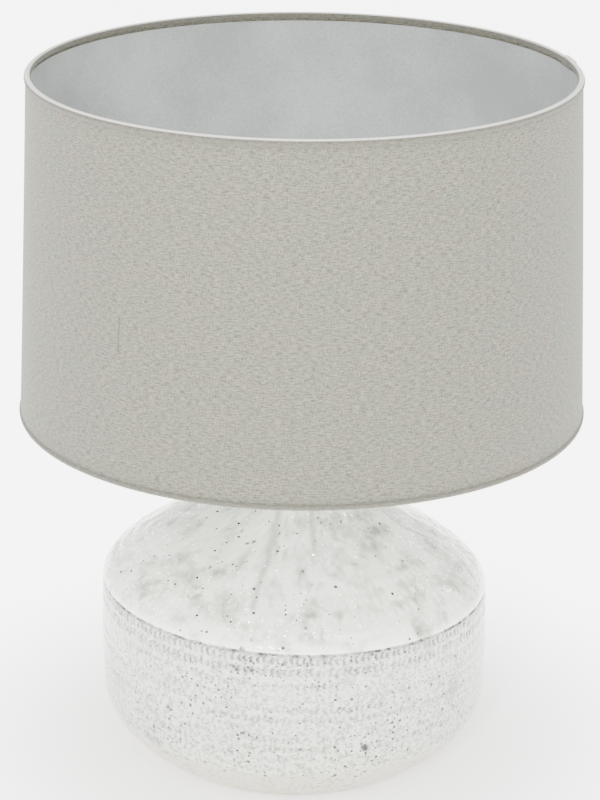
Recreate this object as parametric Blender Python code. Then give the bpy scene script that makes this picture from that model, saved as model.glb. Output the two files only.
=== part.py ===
"""Table lamp: a hand-thrown glazed ceramic base, a screw lampholder with a push-bar switch,
a screw-in bulb, and a tapered drum shade on a three-spoke wire frame.

Metres, +Z up. The origin is on the lamp's axis, on the surface it stands on.
Everything from the neck upwards is stacked on that axis, each piece a small gap above the last.
"""

import math

import bmesh
import bpy
from mathutils import Matrix, Vector

# Clearances
GAP = 0.0003            # between pieces that touch
THREAD_GAP = 0.0003     # between a thread and what is screwed on it
SLIDE_GAP = 0.0004      # around the switch bar

# Facets around the axis
LARGE_SEGMENTS = 48
SMALL_SEGMENTS = 24
WIRE_SEGMENTS = 6

# Ceramic body
FELT_THICKNESS = 0.002
FELT_MARGIN = 0.0045    # from the foot's outer edge to the felt's edge
BODY_HEIGHT = 0.224
BODY_RADIUS = 0.1398
BODY_WALL = 0.006
FOOT_RADIUS = 0.0980
FOOT_RING_WIDTH = 0.018
FOOT_RECESS = 0.004
BELLY_RISE = 0.050      # height over which the foot opens out to the wall
BARREL = 0.0008         # how far the wall bulges at its middle
CREASE_HEIGHT = 0.1282  # above the body's underside
CREASE_DEPTH = 0.0012
CREASE_HALF = 0.0013
NECK_RADIUS = 0.027
# The shoulder from the crease up to the neck: two cubic curves end to end, as fractions of the
# way out from the neck and of the way up from the crease.
SHOULDER_CURVE = ((1.0, 0.0), (0.985, 0.085), (0.86, 0.19), (0.70, 0.325),
                  (0.47, 0.52), (0.02, 0.66), (0.0, 1.0))
# The hand-thrown body leans a little: its belly stands off the axis, and the crease is higher
# on that side. Both fade to nothing at the neck and towards the middle of the floor.
BODY_SHIFT = -0.0042
BODY_LEAN = 0.0038
LEAN_RISE = 0.090
STRAIGHT_RADIUS = 0.040
LEANING_RADIUS = 0.100

# Cable outlet at the rear
OUTLET_HEIGHT = 0.050
CABLE_BORE = 0.0035
GROMMET_WALL = 0.0015
GROMMET_FLANGE = 0.0030
GROMMET_FLANGE_THICKNESS = 0.002
GROMMET_OVERHANG = 0.001

# Neck fitting
SEAL_THICKNESS = 0.0017
CAP_HEIGHT = 0.008
CAP_WALL = 0.0015
CAP_OVERHANG = 0.0015
CAP_FLAT_RADIUS = 0.014
SPIGOT_DEPTH = 0.0056
SPIGOT_GAP = 0.0007
NIPPLE_RADIUS = 0.005
NIPPLE_BORE = 0.0035
NIPPLE_HOLD = 0.006     # how far it reaches into the holder's base
NIPPLE_TAIL = 0.002     # how far it stands out below the inner nut
WASHER_RADIUS = 0.012
WASHER_THICKNESS = 0.0015
LOCK_WASHER_RADIUS = 0.0092
LOCK_WASHER_THICKNESS = 0.0015
NUT_ACROSS_FLATS = 0.017
NUT_HEIGHT = 0.004

# Lampholder
HOLDER_BASE_HEIGHT = 0.021
HOLDER_BOSS_RADIUS = 0.0085
HOLDER_BOSS_HEIGHT = 0.004
HOLDER_WALL = 0.0017
HOLDER_SHELL_HEIGHT = 0.036
GRIP_HEIGHT = 0.009
GRIP_OVERHANG = 0.0013
INSERT_GAP = 0.0004
INSERT_WALL = 0.0026
INSERT_FLOOR = 0.0055
INSERT_RECESS = 0.001       # of its rim below the holder's rim
SOCKET_CLEARANCE = 0.0008   # between the bulb's thread and the screw shell
SCREW_SHELL_WALL = 0.0008
SCREW_SHELL_LIFT = 0.0015   # of its lower edge above the insert's floor
SCREW_SHELL_RECESS = 0.002  # of its upper edge below the insert's rim
SPRING_WIDTH = 0.005
SPRING_THICKNESS = 0.0005
SPRING_RISE = 0.0026
TERMINAL_SIZE = (0.006, 0.005, 0.0045)
TERMINAL_OFFSET = 0.0105

# Push-bar switch
BAR_RADIUS = 0.0025
BAR_HEIGHT = 0.0158     # above the holder base's underside
BAR_REACH = 0.0115      # how far each end stands out at mid travel
BAR_TRAVEL = 0.006      # it is drawn at the -X end of this
BAR_END_RADIUS = 0.0038
BAR_END_LENGTH = 0.004

# Shade rings on the holder's skirt
RING_SEAT_HEIGHT = 0.0242   # top of the lower ring above the shell's underside
RING_FLANGE_WIDTH = 0.0085
RING_FLANGE_THICKNESS = 0.002
RING_COLLAR_WALL = 0.0038
RING_COLLAR_HEIGHT = 0.0045

# Bulb
CAP_THREAD_RADIUS = 0.0131
CONTACT_RADIUS = 0.0045
CONTACT_THICKNESS = 0.0013
INSULATOR_HEIGHT = 0.0037
INSULATOR_INSET = 0.0013    # from the cap's thread in to the insulator's rim
BULB_NECK_OVERHANG = 0.0005
HOUSING_CLEARANCE = 0.0004  # above the holder's rim
HOUSING_HEIGHT = 0.0392
LED_RECESS = 0.003
LED_BOARD_THICKNESS = 0.0015
GLOBE_RADIUS = 0.0305
GLOBE_HALF_HEIGHT = 0.034
GLOBE_OPEN_ANGLE = 20.0     # degrees below the globe's equator where it opens
GLOBE_WALL = 0.0012

# Shade
SHADE_TOP_RADIUS = 0.1906
SHADE_BOTTOM_RADIUS = 0.200
SHADE_HEIGHT = 0.2385       # between the two wire rings
WIRE_RADIUS = 0.0014
CLOTH_THICKNESS = 0.0008    # where it is rolled round the wire
PANEL_THICKNESS = 0.0010
BEAD_PROUD = 0.0010         # how far the rolled edge stands out from the panel
TOP_WRAP = 225.0            # degrees, where the rolled cloth ends, from outwards over the edge
BOTTOM_WRAP = 185.0
LINER_THICKNESS = 0.0006
LINER_TOP_MARGIN = 0.0042   # from the top wire's centre down to the liner
LINER_BOTTOM_MARGIN = 0.0055
FITTER_RISE = 0.024         # of the fitter ring above the bottom wire
FITTER_CLEARANCE = 0.0013   # around the holder's skirt
FITTER_OVERHANG = 0.0015    # beyond the shade rings' flanges
FITTER_THICKNESS = 0.002
SPOKE_COUNT = 3
SPOKE_LIFT_ANGLE = 125.0    # degrees, the way a spoke leaves the bottom wire
SPOKE_STEM = 0.0062
FIRST_SPOKE = 90.0          # degrees

# Radii worked out from the bulb's thread outwards
SCREW_SHELL_BORE = CAP_THREAD_RADIUS + SOCKET_CLEARANCE
SCREW_SHELL_RADIUS = SCREW_SHELL_BORE + SCREW_SHELL_WALL
INSERT_BORE = SCREW_SHELL_RADIUS + GAP
INSERT_RADIUS = INSERT_BORE + INSERT_WALL
SKIRT_BORE = INSERT_RADIUS + INSERT_GAP
SKIRT_RADIUS = SKIRT_BORE + HOLDER_WALL
GRIP_RADIUS = SKIRT_RADIUS + GRIP_OVERHANG
RING_BORE = SKIRT_RADIUS + THREAD_GAP
RING_FLANGE_RADIUS = RING_BORE + RING_FLANGE_WIDTH
FITTER_BORE = SKIRT_RADIUS + FITTER_CLEARANCE
FITTER_RADIUS = RING_FLANGE_RADIUS + FITTER_OVERHANG
BEAD_RADIUS = WIRE_RADIUS + GAP + CLOTH_THICKNESS

# Heights worked out from the stack
BODY_BOTTOM = FELT_THICKNESS + GAP
NECK_TOP = BODY_BOTTOM + BODY_HEIGHT
CREASE_Z = BODY_BOTTOM + CREASE_HEIGHT
SEAL_BOTTOM = NECK_TOP + GAP
CAP_BOTTOM = SEAL_BOTTOM + SEAL_THICKNESS + GAP
CAP_TOP = CAP_BOTTOM + CAP_HEIGHT
NECK_NUT_BOTTOM = CAP_TOP + GAP
HOLDER_BOTTOM = NECK_NUT_BOTTOM + NUT_HEIGHT + GAP
WASHER_TOP = CAP_TOP - CAP_WALL - GAP
LOCK_WASHER_TOP = WASHER_TOP - WASHER_THICKNESS - GAP
INNER_NUT_TOP = LOCK_WASHER_TOP - LOCK_WASHER_THICKNESS - GAP
NIPPLE_BOTTOM = INNER_NUT_TOP - NUT_HEIGHT - NIPPLE_TAIL
NIPPLE_TOP = HOLDER_BOTTOM + NIPPLE_HOLD
BAR_Z = HOLDER_BOTTOM + BAR_HEIGHT
SHELL_BOTTOM = HOLDER_BOTTOM + HOLDER_BASE_HEIGHT + GAP
SHELL_TOP = SHELL_BOTTOM + HOLDER_SHELL_HEIGHT
INSERT_BOTTOM = SHELL_BOTTOM + GAP
INSERT_FLOOR_TOP = INSERT_BOTTOM + INSERT_FLOOR
INSERT_TOP = SHELL_TOP - INSERT_RECESS
SCREW_SHELL_BOTTOM = INSERT_FLOOR_TOP + SCREW_SHELL_LIFT
SCREW_SHELL_TOP = INSERT_TOP - SCREW_SHELL_RECESS
LOWER_RING_TOP = SHELL_BOTTOM + RING_SEAT_HEIGHT
FITTER_BOTTOM = LOWER_RING_TOP + GAP
FITTER_Z = FITTER_BOTTOM + FITTER_THICKNESS / 2
UPPER_RING_BOTTOM = FITTER_BOTTOM + FITTER_THICKNESS + GAP
SHADE_BOTTOM_Z = FITTER_Z - FITTER_RISE
SHADE_TOP_Z = SHADE_BOTTOM_Z + SHADE_HEIGHT
CONTACT_BOTTOM = INSERT_FLOOR_TOP + GAP + SPRING_RISE + SPRING_THICKNESS + GAP
INSULATOR_BOTTOM = CONTACT_BOTTOM + CONTACT_THICKNESS + GAP
BULB_CAP_BOTTOM = INSULATOR_BOTTOM + INSULATOR_HEIGHT + GAP
HOUSING_BOTTOM = SHELL_TOP + HOUSING_CLEARANCE
HOUSING_TOP = HOUSING_BOTTOM + HOUSING_HEIGHT
GLOBE_BOTTOM = HOUSING_TOP + GAP


# ---------------------------------------------------------------- materials and scene helpers

def srgb_to_linear(value):
    """One sRGB channel, 0 to 1, as the linear value that a shader takes."""
    if value <= 0.04045:
        return value / 12.92
    return ((value + 0.055) / 1.055) ** 2.4


def material(name, hex_colour, roughness, metallic=0.0):
    """A Principled material, made once for each name."""
    found = bpy.data.materials.get(name)
    if found:
        return found
    made = bpy.data.materials.new(name)
    made.use_nodes = True
    shader = made.node_tree.nodes["Principled BSDF"]
    channels = [int(hex_colour[i:i + 2], 16) / 255 for i in (0, 2, 4)]
    colour = [srgb_to_linear(channel) for channel in channels]
    shader.inputs["Base Color"].default_value = (*colour, 1.0)
    shader.inputs["Roughness"].default_value = roughness
    shader.inputs["Metallic"].default_value = metallic
    made.diffuse_color = (*colour, 1.0)
    return made


def glaze():
    return material("white_glaze", "E6E7E2", 0.12)


def felt():
    return material("green_grey_felt", "6E716B", 0.95)


def black_rubber():
    return material("black_rubber", "26262A", 0.75)


def nickel():
    return material("brushed_nickel", "B9B6AE", 0.32, 1.0)


def steel():
    return material("zinc_plated_steel", "A9ABAD", 0.35, 1.0)


def brass():
    return material("brass", "B9974E", 0.3, 1.0)


def white_plastic():
    return material("white_plastic", "ECECE8", 0.35)


def porcelain():
    return material("porcelain", "E9E6DE", 0.3)


def linen():
    return material("natural_linen", "B8B6AE", 0.9)


def lining():
    return material("white_lining", "B8BCB8", 0.45)


def white_wire():
    return material("white_enamelled_wire", "E2E2DE", 0.4)


def opal():
    return material("opal_diffuser", "F2F1EA", 0.4)


def black_glass():
    return material("black_glass", "17171A", 0.1)


def clear_scene():
    for item in list(bpy.data.objects):
        bpy.data.objects.remove(item, do_unlink=True)


def empty(name, location=(0, 0, 0), parent=None):
    """An empty that carries the pieces of one moving group."""
    made = bpy.data.objects.new(name, None)
    bpy.context.collection.objects.link(made)
    made.location = location
    made.parent = parent
    return made


def piece(name, bm, surface, parent, location=(0, 0, 0)):
    """The bmesh as a named object with outward faces, smooth except at its corners."""
    bmesh.ops.recalc_face_normals(bm, faces=bm.faces)
    mesh = bpy.data.meshes.new(name)
    bm.to_mesh(mesh)
    bm.free()
    mesh.shade_smooth()
    mesh.set_sharp_from_angle(angle=math.radians(35))
    mesh.materials.append(surface)
    made = bpy.data.objects.new(name, mesh)
    bpy.context.collection.objects.link(made)
    made.location = location
    made.parent = parent
    return made


def cut(target, cutter):
    """Takes the cutter's shape out of the target, and hides the cutter."""
    cutter.hide_render = True
    cutter.display_type = "WIRE"
    taken = target.modifiers.new("cut_" + cutter.name, "BOOLEAN")
    taken.operation = "DIFFERENCE"
    taken.object = cutter


# ---------------------------------------------------------------- shape helpers

def turned(outline, segments=SMALL_SEGMENTS):
    """A bmesh turned about Z from a closed outline of (radius, height) points."""
    bm = bmesh.new()
    points = [bm.verts.new((radius, 0.0, height)) for radius, height in outline]
    edges = []
    for index, point in enumerate(points):
        after = points[(index + 1) % len(points)]
        on_axis = point.co.x < 1e-9 and after.co.x < 1e-9
        if not on_axis:
            edges.append(bm.edges.new((point, after)))
    bmesh.ops.spin(bm, geom=points + edges, cent=(0, 0, 0), axis=(0, 0, 1),
                   angle=math.tau, steps=segments, use_merge=True)
    bmesh.ops.remove_doubles(bm, verts=bm.verts, dist=1e-6)
    return bm


def tube_outline(bore, radius, bottom, top):
    return [(bore, bottom), (radius, bottom), (radius, top), (bore, top)]


def disc_outline(radius, bottom, top):
    return [(0.0, bottom), (radius, bottom), (radius, top), (0.0, top)]


def arc(centre, radius, start, end, steps):
    """Points on an arc in the (radius, height) plane, angles in degrees."""
    points = []
    for index in range(steps + 1):
        angle = math.radians(start + (end - start) * index / steps)
        points.append((centre[0] + radius * math.cos(angle), centre[1] + radius * math.sin(angle)))
    return points


def bezier(controls, steps):
    """Points along a cubic curve with four control points, without its first point."""
    points = []
    for index in range(1, steps + 1):
        t = index / steps
        weights = ((1 - t) ** 3, 3 * t * (1 - t) ** 2, 3 * t * t * (1 - t), t ** 3)
        points.append(tuple(sum(w * c[axis] for w, c in zip(weights, controls)) for axis in (0, 1)))
    return points


def smooth_step(value):
    """0 below 0, 1 above 1, and an even S between."""
    value = min(max(value, 0.0), 1.0)
    return value * value * (3 - 2 * value)


def offset_inwards(points, distance):
    """The points of an outline that runs upwards, moved towards the axis along its normals."""
    moved = []
    for index, (radius, height) in enumerate(points):
        before = points[max(index - 1, 0)]
        after = points[min(index + 1, len(points) - 1)]
        along = Vector((after[0] - before[0], after[1] - before[1])).normalized()
        moved.append((radius - along.y * distance, height + along.x * distance))
    return moved


def hex_nut(name, bore, bottom, parent):
    """A hexagon nut: its rings have a point every 15 degrees, so the corners are exact."""
    bm = bmesh.new()
    rings = []
    for height, is_outer in ((0.0, True), (NUT_HEIGHT, True), (NUT_HEIGHT, False), (0.0, False)):
        ring = []
        for index in range(SMALL_SEGMENTS):
            angle = math.tau * index / SMALL_SEGMENTS
            from_flat = (angle + math.pi / 6) % (math.pi / 3) - math.pi / 6
            radius = NUT_ACROSS_FLATS / 2 / math.cos(from_flat) if is_outer else bore
            ring.append(bm.verts.new((radius * math.cos(angle), radius * math.sin(angle), height)))
        rings.append(ring)
    for first, second in zip(rings, rings[1:] + rings[:1]):
        for index in range(SMALL_SEGMENTS):
            after = (index + 1) % SMALL_SEGMENTS
            bm.faces.new((first[index], first[after], second[after], second[index]))
    return piece(name, bm, steel(), parent, (0, 0, bottom))


def bar_along_x(name, radius, half_length, location, surface, parent):
    """A round bar along X, centred on its location."""
    bm = bmesh.new()
    bmesh.ops.create_cone(bm, cap_ends=True, segments=SMALL_SEGMENTS, radius1=radius,
                          radius2=radius, depth=2 * half_length,
                          matrix=Matrix.Rotation(math.pi / 2, 4, "Y"))
    return piece(name, bm, surface, parent, location)


# ---------------------------------------------------------------- ceramic body

def lean(point):
    """Moves a point of the round body to where the hand-thrown body has it."""
    radius = math.hypot(point.x, point.y)
    weight = smooth_step((radius - STRAIGHT_RADIUS) / (LEANING_RADIUS - STRAIGHT_RADIUS))
    rise = smooth_step((point.z - BODY_BOTTOM) / LEAN_RISE)
    point.z -= BODY_LEAN * point.x / BODY_RADIUS * weight * rise
    point.x += BODY_SHIFT * weight


def belly_outline(steps):
    """From the foot up to the wall: a parabola that ends upright."""
    points = []
    wall = BODY_RADIUS - BARREL
    for index in range(steps + 1):
        t = index / steps
        radius = wall - (wall - FOOT_RADIUS) * (1 - t) ** 2
        points.append((radius, BODY_BOTTOM + BELLY_RISE * t))
    return points


def wall_outline(steps):
    """The nearly upright wall, up to the crease, bulging a little at its middle."""
    points = []
    low = BODY_BOTTOM + BELLY_RISE
    high = CREASE_Z - CREASE_HALF
    for index in range(1, steps + 1):
        t = index / steps
        bulge = 4 * t * (1 - t)
        points.append((BODY_RADIUS - BARREL * (1 - bulge), low + (high - low) * t))
    return points


def shoulder_outline(steps):
    """From the crease's upper lip to the top of the neck."""
    low = CREASE_Z + CREASE_HALF
    wide = BODY_RADIUS - BARREL
    controls = []
    for out, up in SHOULDER_CURVE:
        controls.append((NECK_RADIUS + (wide - NECK_RADIUS) * out, low + (NECK_TOP - low) * up))
    return [controls[0]] + bezier(controls[:4], steps) + bezier(controls[3:], steps)


def add_ceramic_body(parent):
    """The hollow body with its foot ring, floor, crease and open neck, and the outlet hole."""
    outer = belly_outline(7) + wall_outline(3)
    crease = [(BODY_RADIUS - BARREL - CREASE_DEPTH, CREASE_Z)]
    shoulder = shoulder_outline(7)
    floor_top = BODY_BOTTOM + FOOT_RECESS + BODY_WALL
    inner = offset_inwards(outer[1:] + shoulder[1:], BODY_WALL)
    inner = [point for point in inner if floor_top < point[1] < NECK_TOP - BODY_WALL][::2]
    bore = NECK_RADIUS - BODY_WALL
    floor_radius = inner[0][0]
    outline = outer + crease + shoulder
    outline += [(bore, NECK_TOP)] + [point for point in reversed(inner) if point[0] > bore]
    outline += [(floor_radius * 0.96, floor_top), (0.0, floor_top)]
    outline += [(0.0, BODY_BOTTOM + FOOT_RECESS)]
    outline += [(FOOT_RADIUS - FOOT_RING_WIDTH, BODY_BOTTOM + FOOT_RECESS)]
    outline += [(FOOT_RADIUS - FOOT_RING_WIDTH, BODY_BOTTOM)]
    bm = turned(outline, LARGE_SEGMENTS)
    for vertex in bm.verts:
        lean(vertex.co)
    body = piece("ceramic_body", bm, glaze(), parent)
    drill = bmesh.new()
    hole = CABLE_BORE + GROMMET_WALL + GAP
    bmesh.ops.create_cone(drill, cap_ends=True, segments=SMALL_SEGMENTS, radius1=hole,
                          radius2=hole, depth=BODY_RADIUS,
                          matrix=Matrix.Rotation(math.pi / 2, 4, "X"))
    cutter = piece("outlet_cutter", drill, glaze(), parent,
                   (BODY_SHIFT, BODY_RADIUS, OUTLET_HEIGHT))
    cut(body, cutter)


def add_foot_felt(parent):
    bm = turned(disc_outline(FOOT_RADIUS - FELT_MARGIN, 0.0, FELT_THICKNESS), LARGE_SEGMENTS)
    piece("foot_felt", bm, felt(), parent, (BODY_SHIFT, 0, 0))


def add_cable_grommet(parent):
    """A push-in bush: its sleeve lines the hole, and its flange stands against the wall."""
    sleeve = CABLE_BORE + GROMMET_WALL
    flange = sleeve + GROMMET_FLANGE
    inside = -BODY_WALL - GROMMET_OVERHANG
    face = GAP
    outline = [(CABLE_BORE, inside), (sleeve, inside), (sleeve, face), (flange, face),
               (flange, face + GROMMET_FLANGE_THICKNESS),
               (CABLE_BORE, face + GROMMET_FLANGE_THICKNESS)]
    bm = turned(outline)
    bmesh.ops.rotate(bm, verts=bm.verts, cent=(0, 0, 0),
                     matrix=Matrix.Rotation(-math.pi / 2, 3, "X"))
    piece("cable_grommet", bm, black_rubber(), parent, (BODY_SHIFT, BODY_RADIUS, OUTLET_HEIGHT))


# ---------------------------------------------------------------- neck fitting

def add_neck_seal(parent):
    bore = NECK_RADIUS - BODY_WALL + GAP
    outline = tube_outline(bore, NECK_RADIUS, SEAL_BOTTOM, SEAL_BOTTOM + SEAL_THICKNESS)
    piece("neck_seal", turned(outline), black_rubber(), parent)


def add_neck_cap(parent):
    """A spun cap with a rim on the seal and a spigot that centres it in the neck."""
    rim = NECK_RADIUS + CAP_OVERHANG
    spigot = NECK_RADIUS - BODY_WALL - SPIGOT_GAP
    bore = NIPPLE_RADIUS + THREAD_GAP
    rim_top = CAP_BOTTOM + CAP_WALL
    dome = bezier(((rim, rim_top), (rim, CAP_TOP - CAP_WALL),
                   (rim * 0.8, CAP_TOP), (CAP_FLAT_RADIUS, CAP_TOP)), 5)
    under = CAP_TOP - CAP_WALL
    outline = [(rim, CAP_BOTTOM), (rim, rim_top)] + dome + [(bore, CAP_TOP), (bore, under)]
    outline += [(CAP_FLAT_RADIUS, under), (spigot - CAP_WALL, rim_top)]
    outline += [(spigot - CAP_WALL, CAP_BOTTOM - SPIGOT_DEPTH)]
    outline += [(spigot, CAP_BOTTOM - SPIGOT_DEPTH), (spigot, CAP_BOTTOM)]
    piece("neck_cap", turned(outline), nickel(), parent)


def add_neck_hardware(parent):
    """The threaded nipple and what clamps it in the cap."""
    bore = NIPPLE_RADIUS + THREAD_GAP
    nipple = turned(tube_outline(NIPPLE_BORE, NIPPLE_RADIUS, NIPPLE_BOTTOM, NIPPLE_TOP))
    piece("threaded_nipple", nipple, steel(), parent)
    washer = tube_outline(bore, WASHER_RADIUS, WASHER_TOP - WASHER_THICKNESS, WASHER_TOP)
    piece("clamp_washer", turned(washer), steel(), parent)
    lock = tube_outline(bore, LOCK_WASHER_RADIUS, LOCK_WASHER_TOP - LOCK_WASHER_THICKNESS,
                        LOCK_WASHER_TOP)
    piece("lock_washer", turned(lock), steel(), parent)
    hex_nut("inner_nut", bore, INNER_NUT_TOP - NUT_HEIGHT, parent)
    hex_nut("neck_nut", bore, NECK_NUT_BOTTOM, parent)


# ---------------------------------------------------------------- lampholder

def add_holder_base(parent):
    """The holder's lower cup, screwed on the nipple, with a hole each side for the switch bar."""
    bore = NIPPLE_RADIUS + THREAD_GAP
    top = HOLDER_BOTTOM + HOLDER_BASE_HEIGHT
    boss_top = HOLDER_BOTTOM + HOLDER_BOSS_HEIGHT
    side = HOLDER_BOTTOM + HOLDER_BASE_HEIGHT * 0.62
    inside = GRIP_RADIUS - HOLDER_WALL
    floor = NIPPLE_TOP + HOLDER_WALL
    outline = [(bore, HOLDER_BOTTOM), (HOLDER_BOSS_RADIUS, HOLDER_BOTTOM),
               (HOLDER_BOSS_RADIUS, boss_top)]
    outline += bezier(((HOLDER_BOSS_RADIUS, boss_top), (GRIP_RADIUS * 0.8, boss_top),
                       (GRIP_RADIUS, boss_top + HOLDER_WALL), (GRIP_RADIUS, side)), 5)
    outline += [(GRIP_RADIUS, top), (inside, top), (inside, side)]
    outline += [(inside * 0.8, floor), (bore, floor)]
    cup = piece("holder_base", turned(outline), white_plastic(), parent)
    hole = BAR_RADIUS + SLIDE_GAP
    cutter = bar_along_x("switch_bar_cutter", hole, 2 * GRIP_RADIUS, (0, 0, BAR_Z),
                         white_plastic(), parent)
    cut(cup, cutter)


def add_holder_shell(parent):
    """The holder's upper shell: a grip band, and above it the skirt that takes the shade rings."""
    grip_top = SHELL_BOTTOM + GRIP_HEIGHT
    outline = [(SKIRT_BORE, SHELL_BOTTOM), (GRIP_RADIUS, SHELL_BOTTOM), (GRIP_RADIUS, grip_top),
               (SKIRT_RADIUS, grip_top + GRIP_OVERHANG), (SKIRT_RADIUS, SHELL_TOP),
               (SKIRT_BORE, SHELL_TOP)]
    piece("holder_shell", turned(outline), white_plastic(), parent)


def add_holder_insert(parent):
    """The cup that carries the live parts, inside the shell."""
    outline = [(0.0, INSERT_BOTTOM), (INSERT_RADIUS, INSERT_BOTTOM), (INSERT_RADIUS, INSERT_TOP),
               (INSERT_BORE, INSERT_TOP), (INSERT_BORE, INSERT_FLOOR_TOP), (0.0, INSERT_FLOOR_TOP)]
    piece("holder_insert", turned(outline), porcelain(), parent)


def add_screw_shell(parent):
    outline = tube_outline(SCREW_SHELL_BORE, SCREW_SHELL_RADIUS, SCREW_SHELL_BOTTOM,
                           SCREW_SHELL_TOP)
    piece("screw_shell", turned(outline), brass(), parent)


def add_contact_spring(parent):
    """A leaf that rises from the insert's floor to the middle of the bulb's cap."""
    foot = SCREW_SHELL_RADIUS * 0.55
    line = ((-foot, 0.0), (-foot * 0.5, SPRING_RISE * 0.15), (0.0, SPRING_RISE * 0.9),
            (foot * 0.45, SPRING_RISE))
    base = INSERT_FLOOR_TOP + GAP
    bm = bmesh.new()
    rows = []
    for x, z in line:
        corners = ((-1, 0.0), (1, 0.0), (1, SPRING_THICKNESS), (-1, SPRING_THICKNESS))
        rows.append([bm.verts.new((x, side * SPRING_WIDTH / 2, z + up)) for side, up in corners])
    for first, second in zip(rows, rows[1:]):
        for index in range(4):
            after = (index + 1) % 4
            bm.faces.new((first[index], first[after], second[after], second[index]))
    bm.faces.new(rows[0])
    bm.faces.new(rows[-1])
    piece("contact_spring", bm, brass(), parent, (0, 0, base))


def add_terminals(parent):
    """Two brass terminals under the insert, either side of the switch bar."""
    height = SHELL_BOTTOM - GAP - TERMINAL_SIZE[2] / 2
    for name, side in (("live_terminal", -1), ("neutral_terminal", 1)):
        bm = bmesh.new()
        bmesh.ops.create_cube(bm, size=1.0, matrix=Matrix.Diagonal((*TERMINAL_SIZE, 1.0)))
        piece(name, bm, brass(), parent, (0, side * TERMINAL_OFFSET, height))


def add_switch_bar(parent):
    """The push bar through the holder's base, with a knob at each end."""
    half = GRIP_RADIUS + BAR_REACH
    outline = [(0.0, -half), (BAR_END_RADIUS, -half), (BAR_END_RADIUS, -half + BAR_END_LENGTH),
               (BAR_RADIUS, -half + BAR_END_LENGTH), (BAR_RADIUS, half - BAR_END_LENGTH),
               (BAR_END_RADIUS, half - BAR_END_LENGTH), (BAR_END_RADIUS, half), (0.0, half)]
    bm = turned(outline)
    bmesh.ops.rotate(bm, verts=bm.verts, cent=(0, 0, 0),
                     matrix=Matrix.Rotation(math.pi / 2, 3, "Y"))
    piece("switch_bar", bm, white_plastic(), parent, (-BAR_TRAVEL / 2, 0, 0))


def ring_outline(seat, away):
    """A shade ring: a flange at the seat, and a collar that runs away from it, up or down."""
    collar = RING_BORE + RING_COLLAR_WALL
    flange = seat + away * RING_FLANGE_THICKNESS
    end = flange + away * RING_COLLAR_HEIGHT
    return [(RING_BORE, seat), (RING_FLANGE_RADIUS, seat), (RING_FLANGE_RADIUS, flange),
            (collar, flange), (collar, end), (RING_BORE, end)]


# ---------------------------------------------------------------- bulb

def add_bulb(parent):
    """The screw-in bulb: contact, insulator, cap, housing, light board and globe."""
    contact = disc_outline(CONTACT_RADIUS, CONTACT_BOTTOM, CONTACT_BOTTOM + CONTACT_THICKNESS)
    piece("bulb_contact", turned(contact), brass(), parent)
    insulator = [(0.0, INSULATOR_BOTTOM), (CONTACT_RADIUS, INSULATOR_BOTTOM),
                 (CAP_THREAD_RADIUS - INSULATOR_INSET, INSULATOR_BOTTOM + INSULATOR_HEIGHT),
                 (0.0, INSULATOR_BOTTOM + INSULATOR_HEIGHT)]
    piece("bulb_insulator", turned(insulator), black_glass(), parent)
    cap = disc_outline(CAP_THREAD_RADIUS, BULB_CAP_BOTTOM, HOUSING_BOTTOM - GAP)
    piece("bulb_cap", turned(cap), nickel(), parent)

    opening = math.radians(GLOBE_OPEN_ANGLE)
    mouth = GLOBE_RADIUS * math.cos(opening)
    recess = HOUSING_TOP - LED_RECESS
    board_radius = mouth - GLOBE_WALL - GAP
    neck = CAP_THREAD_RADIUS + BULB_NECK_OVERHANG
    housing = [(0.0, HOUSING_BOTTOM), (neck, HOUSING_BOTTOM)]
    housing += bezier(((neck, HOUSING_BOTTOM), (neck, HOUSING_BOTTOM + HOUSING_HEIGHT * 0.35),
                       (mouth, HOUSING_BOTTOM + HOUSING_HEIGHT * 0.6), (mouth, HOUSING_TOP)), 6)
    housing += [(board_radius + GAP, HOUSING_TOP), (board_radius + GAP, recess), (0.0, recess)]
    piece("bulb_housing", turned(housing), white_plastic(), parent)
    board = disc_outline(board_radius, recess + GAP, recess + GAP + LED_BOARD_THICKNESS)
    piece("bulb_led_board", turned(board), white_wire(), parent)

    centre = GLOBE_BOTTOM + GLOBE_HALF_HEIGHT * math.sin(opening)
    steps = 8
    angles = [-opening + (math.pi / 2 + opening) * index / steps for index in range(steps + 1)]
    outer = [(GLOBE_RADIUS * math.cos(a), centre + GLOBE_HALF_HEIGHT * math.sin(a)) for a in angles]
    thin = [((GLOBE_RADIUS - GLOBE_WALL) * math.cos(a),
             centre + (GLOBE_HALF_HEIGHT - GLOBE_WALL) * math.sin(a)) for a in angles]
    outer[-1] = (0.0, outer[-1][1])
    thin[-1] = (0.0, thin[-1][1])
    thin[0] = (thin[0][0], outer[0][1])
    piece("bulb_globe", turned(outer + thin[::-1]), opal(), parent)


# ---------------------------------------------------------------- shade

def shade_radius(height):
    """The shade's outer radius at the rolled edges' line, at a height."""
    t = (height - SHADE_BOTTOM_Z) / SHADE_HEIGHT
    return SHADE_BOTTOM_RADIUS + (SHADE_TOP_RADIUS - SHADE_BOTTOM_RADIUS) * t


def rolled_edge(centre, wrap, up):
    """The cloth round one wire, from the panel's outside round to its inside.

    up is 1 at the top edge and -1 at the bottom one. The outer arc starts where the bead meets
    the panel's outer face, and the inner arc ends where it meets the inner face.
    """
    panel_out = BEAD_RADIUS - BEAD_PROUD
    hollow = WIRE_RADIUS + GAP
    start = -math.degrees(math.acos(panel_out / BEAD_RADIUS))
    end = -math.degrees(math.acos((panel_out - PANEL_THICKNESS) / hollow))
    outer = arc((0.0, 0.0), BEAD_RADIUS, start, wrap, 6)
    inner = arc((0.0, 0.0), hollow, wrap, end, 5)
    return [(centre[0] + x, centre[1] + up * z) for x, z in outer + inner]


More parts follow.
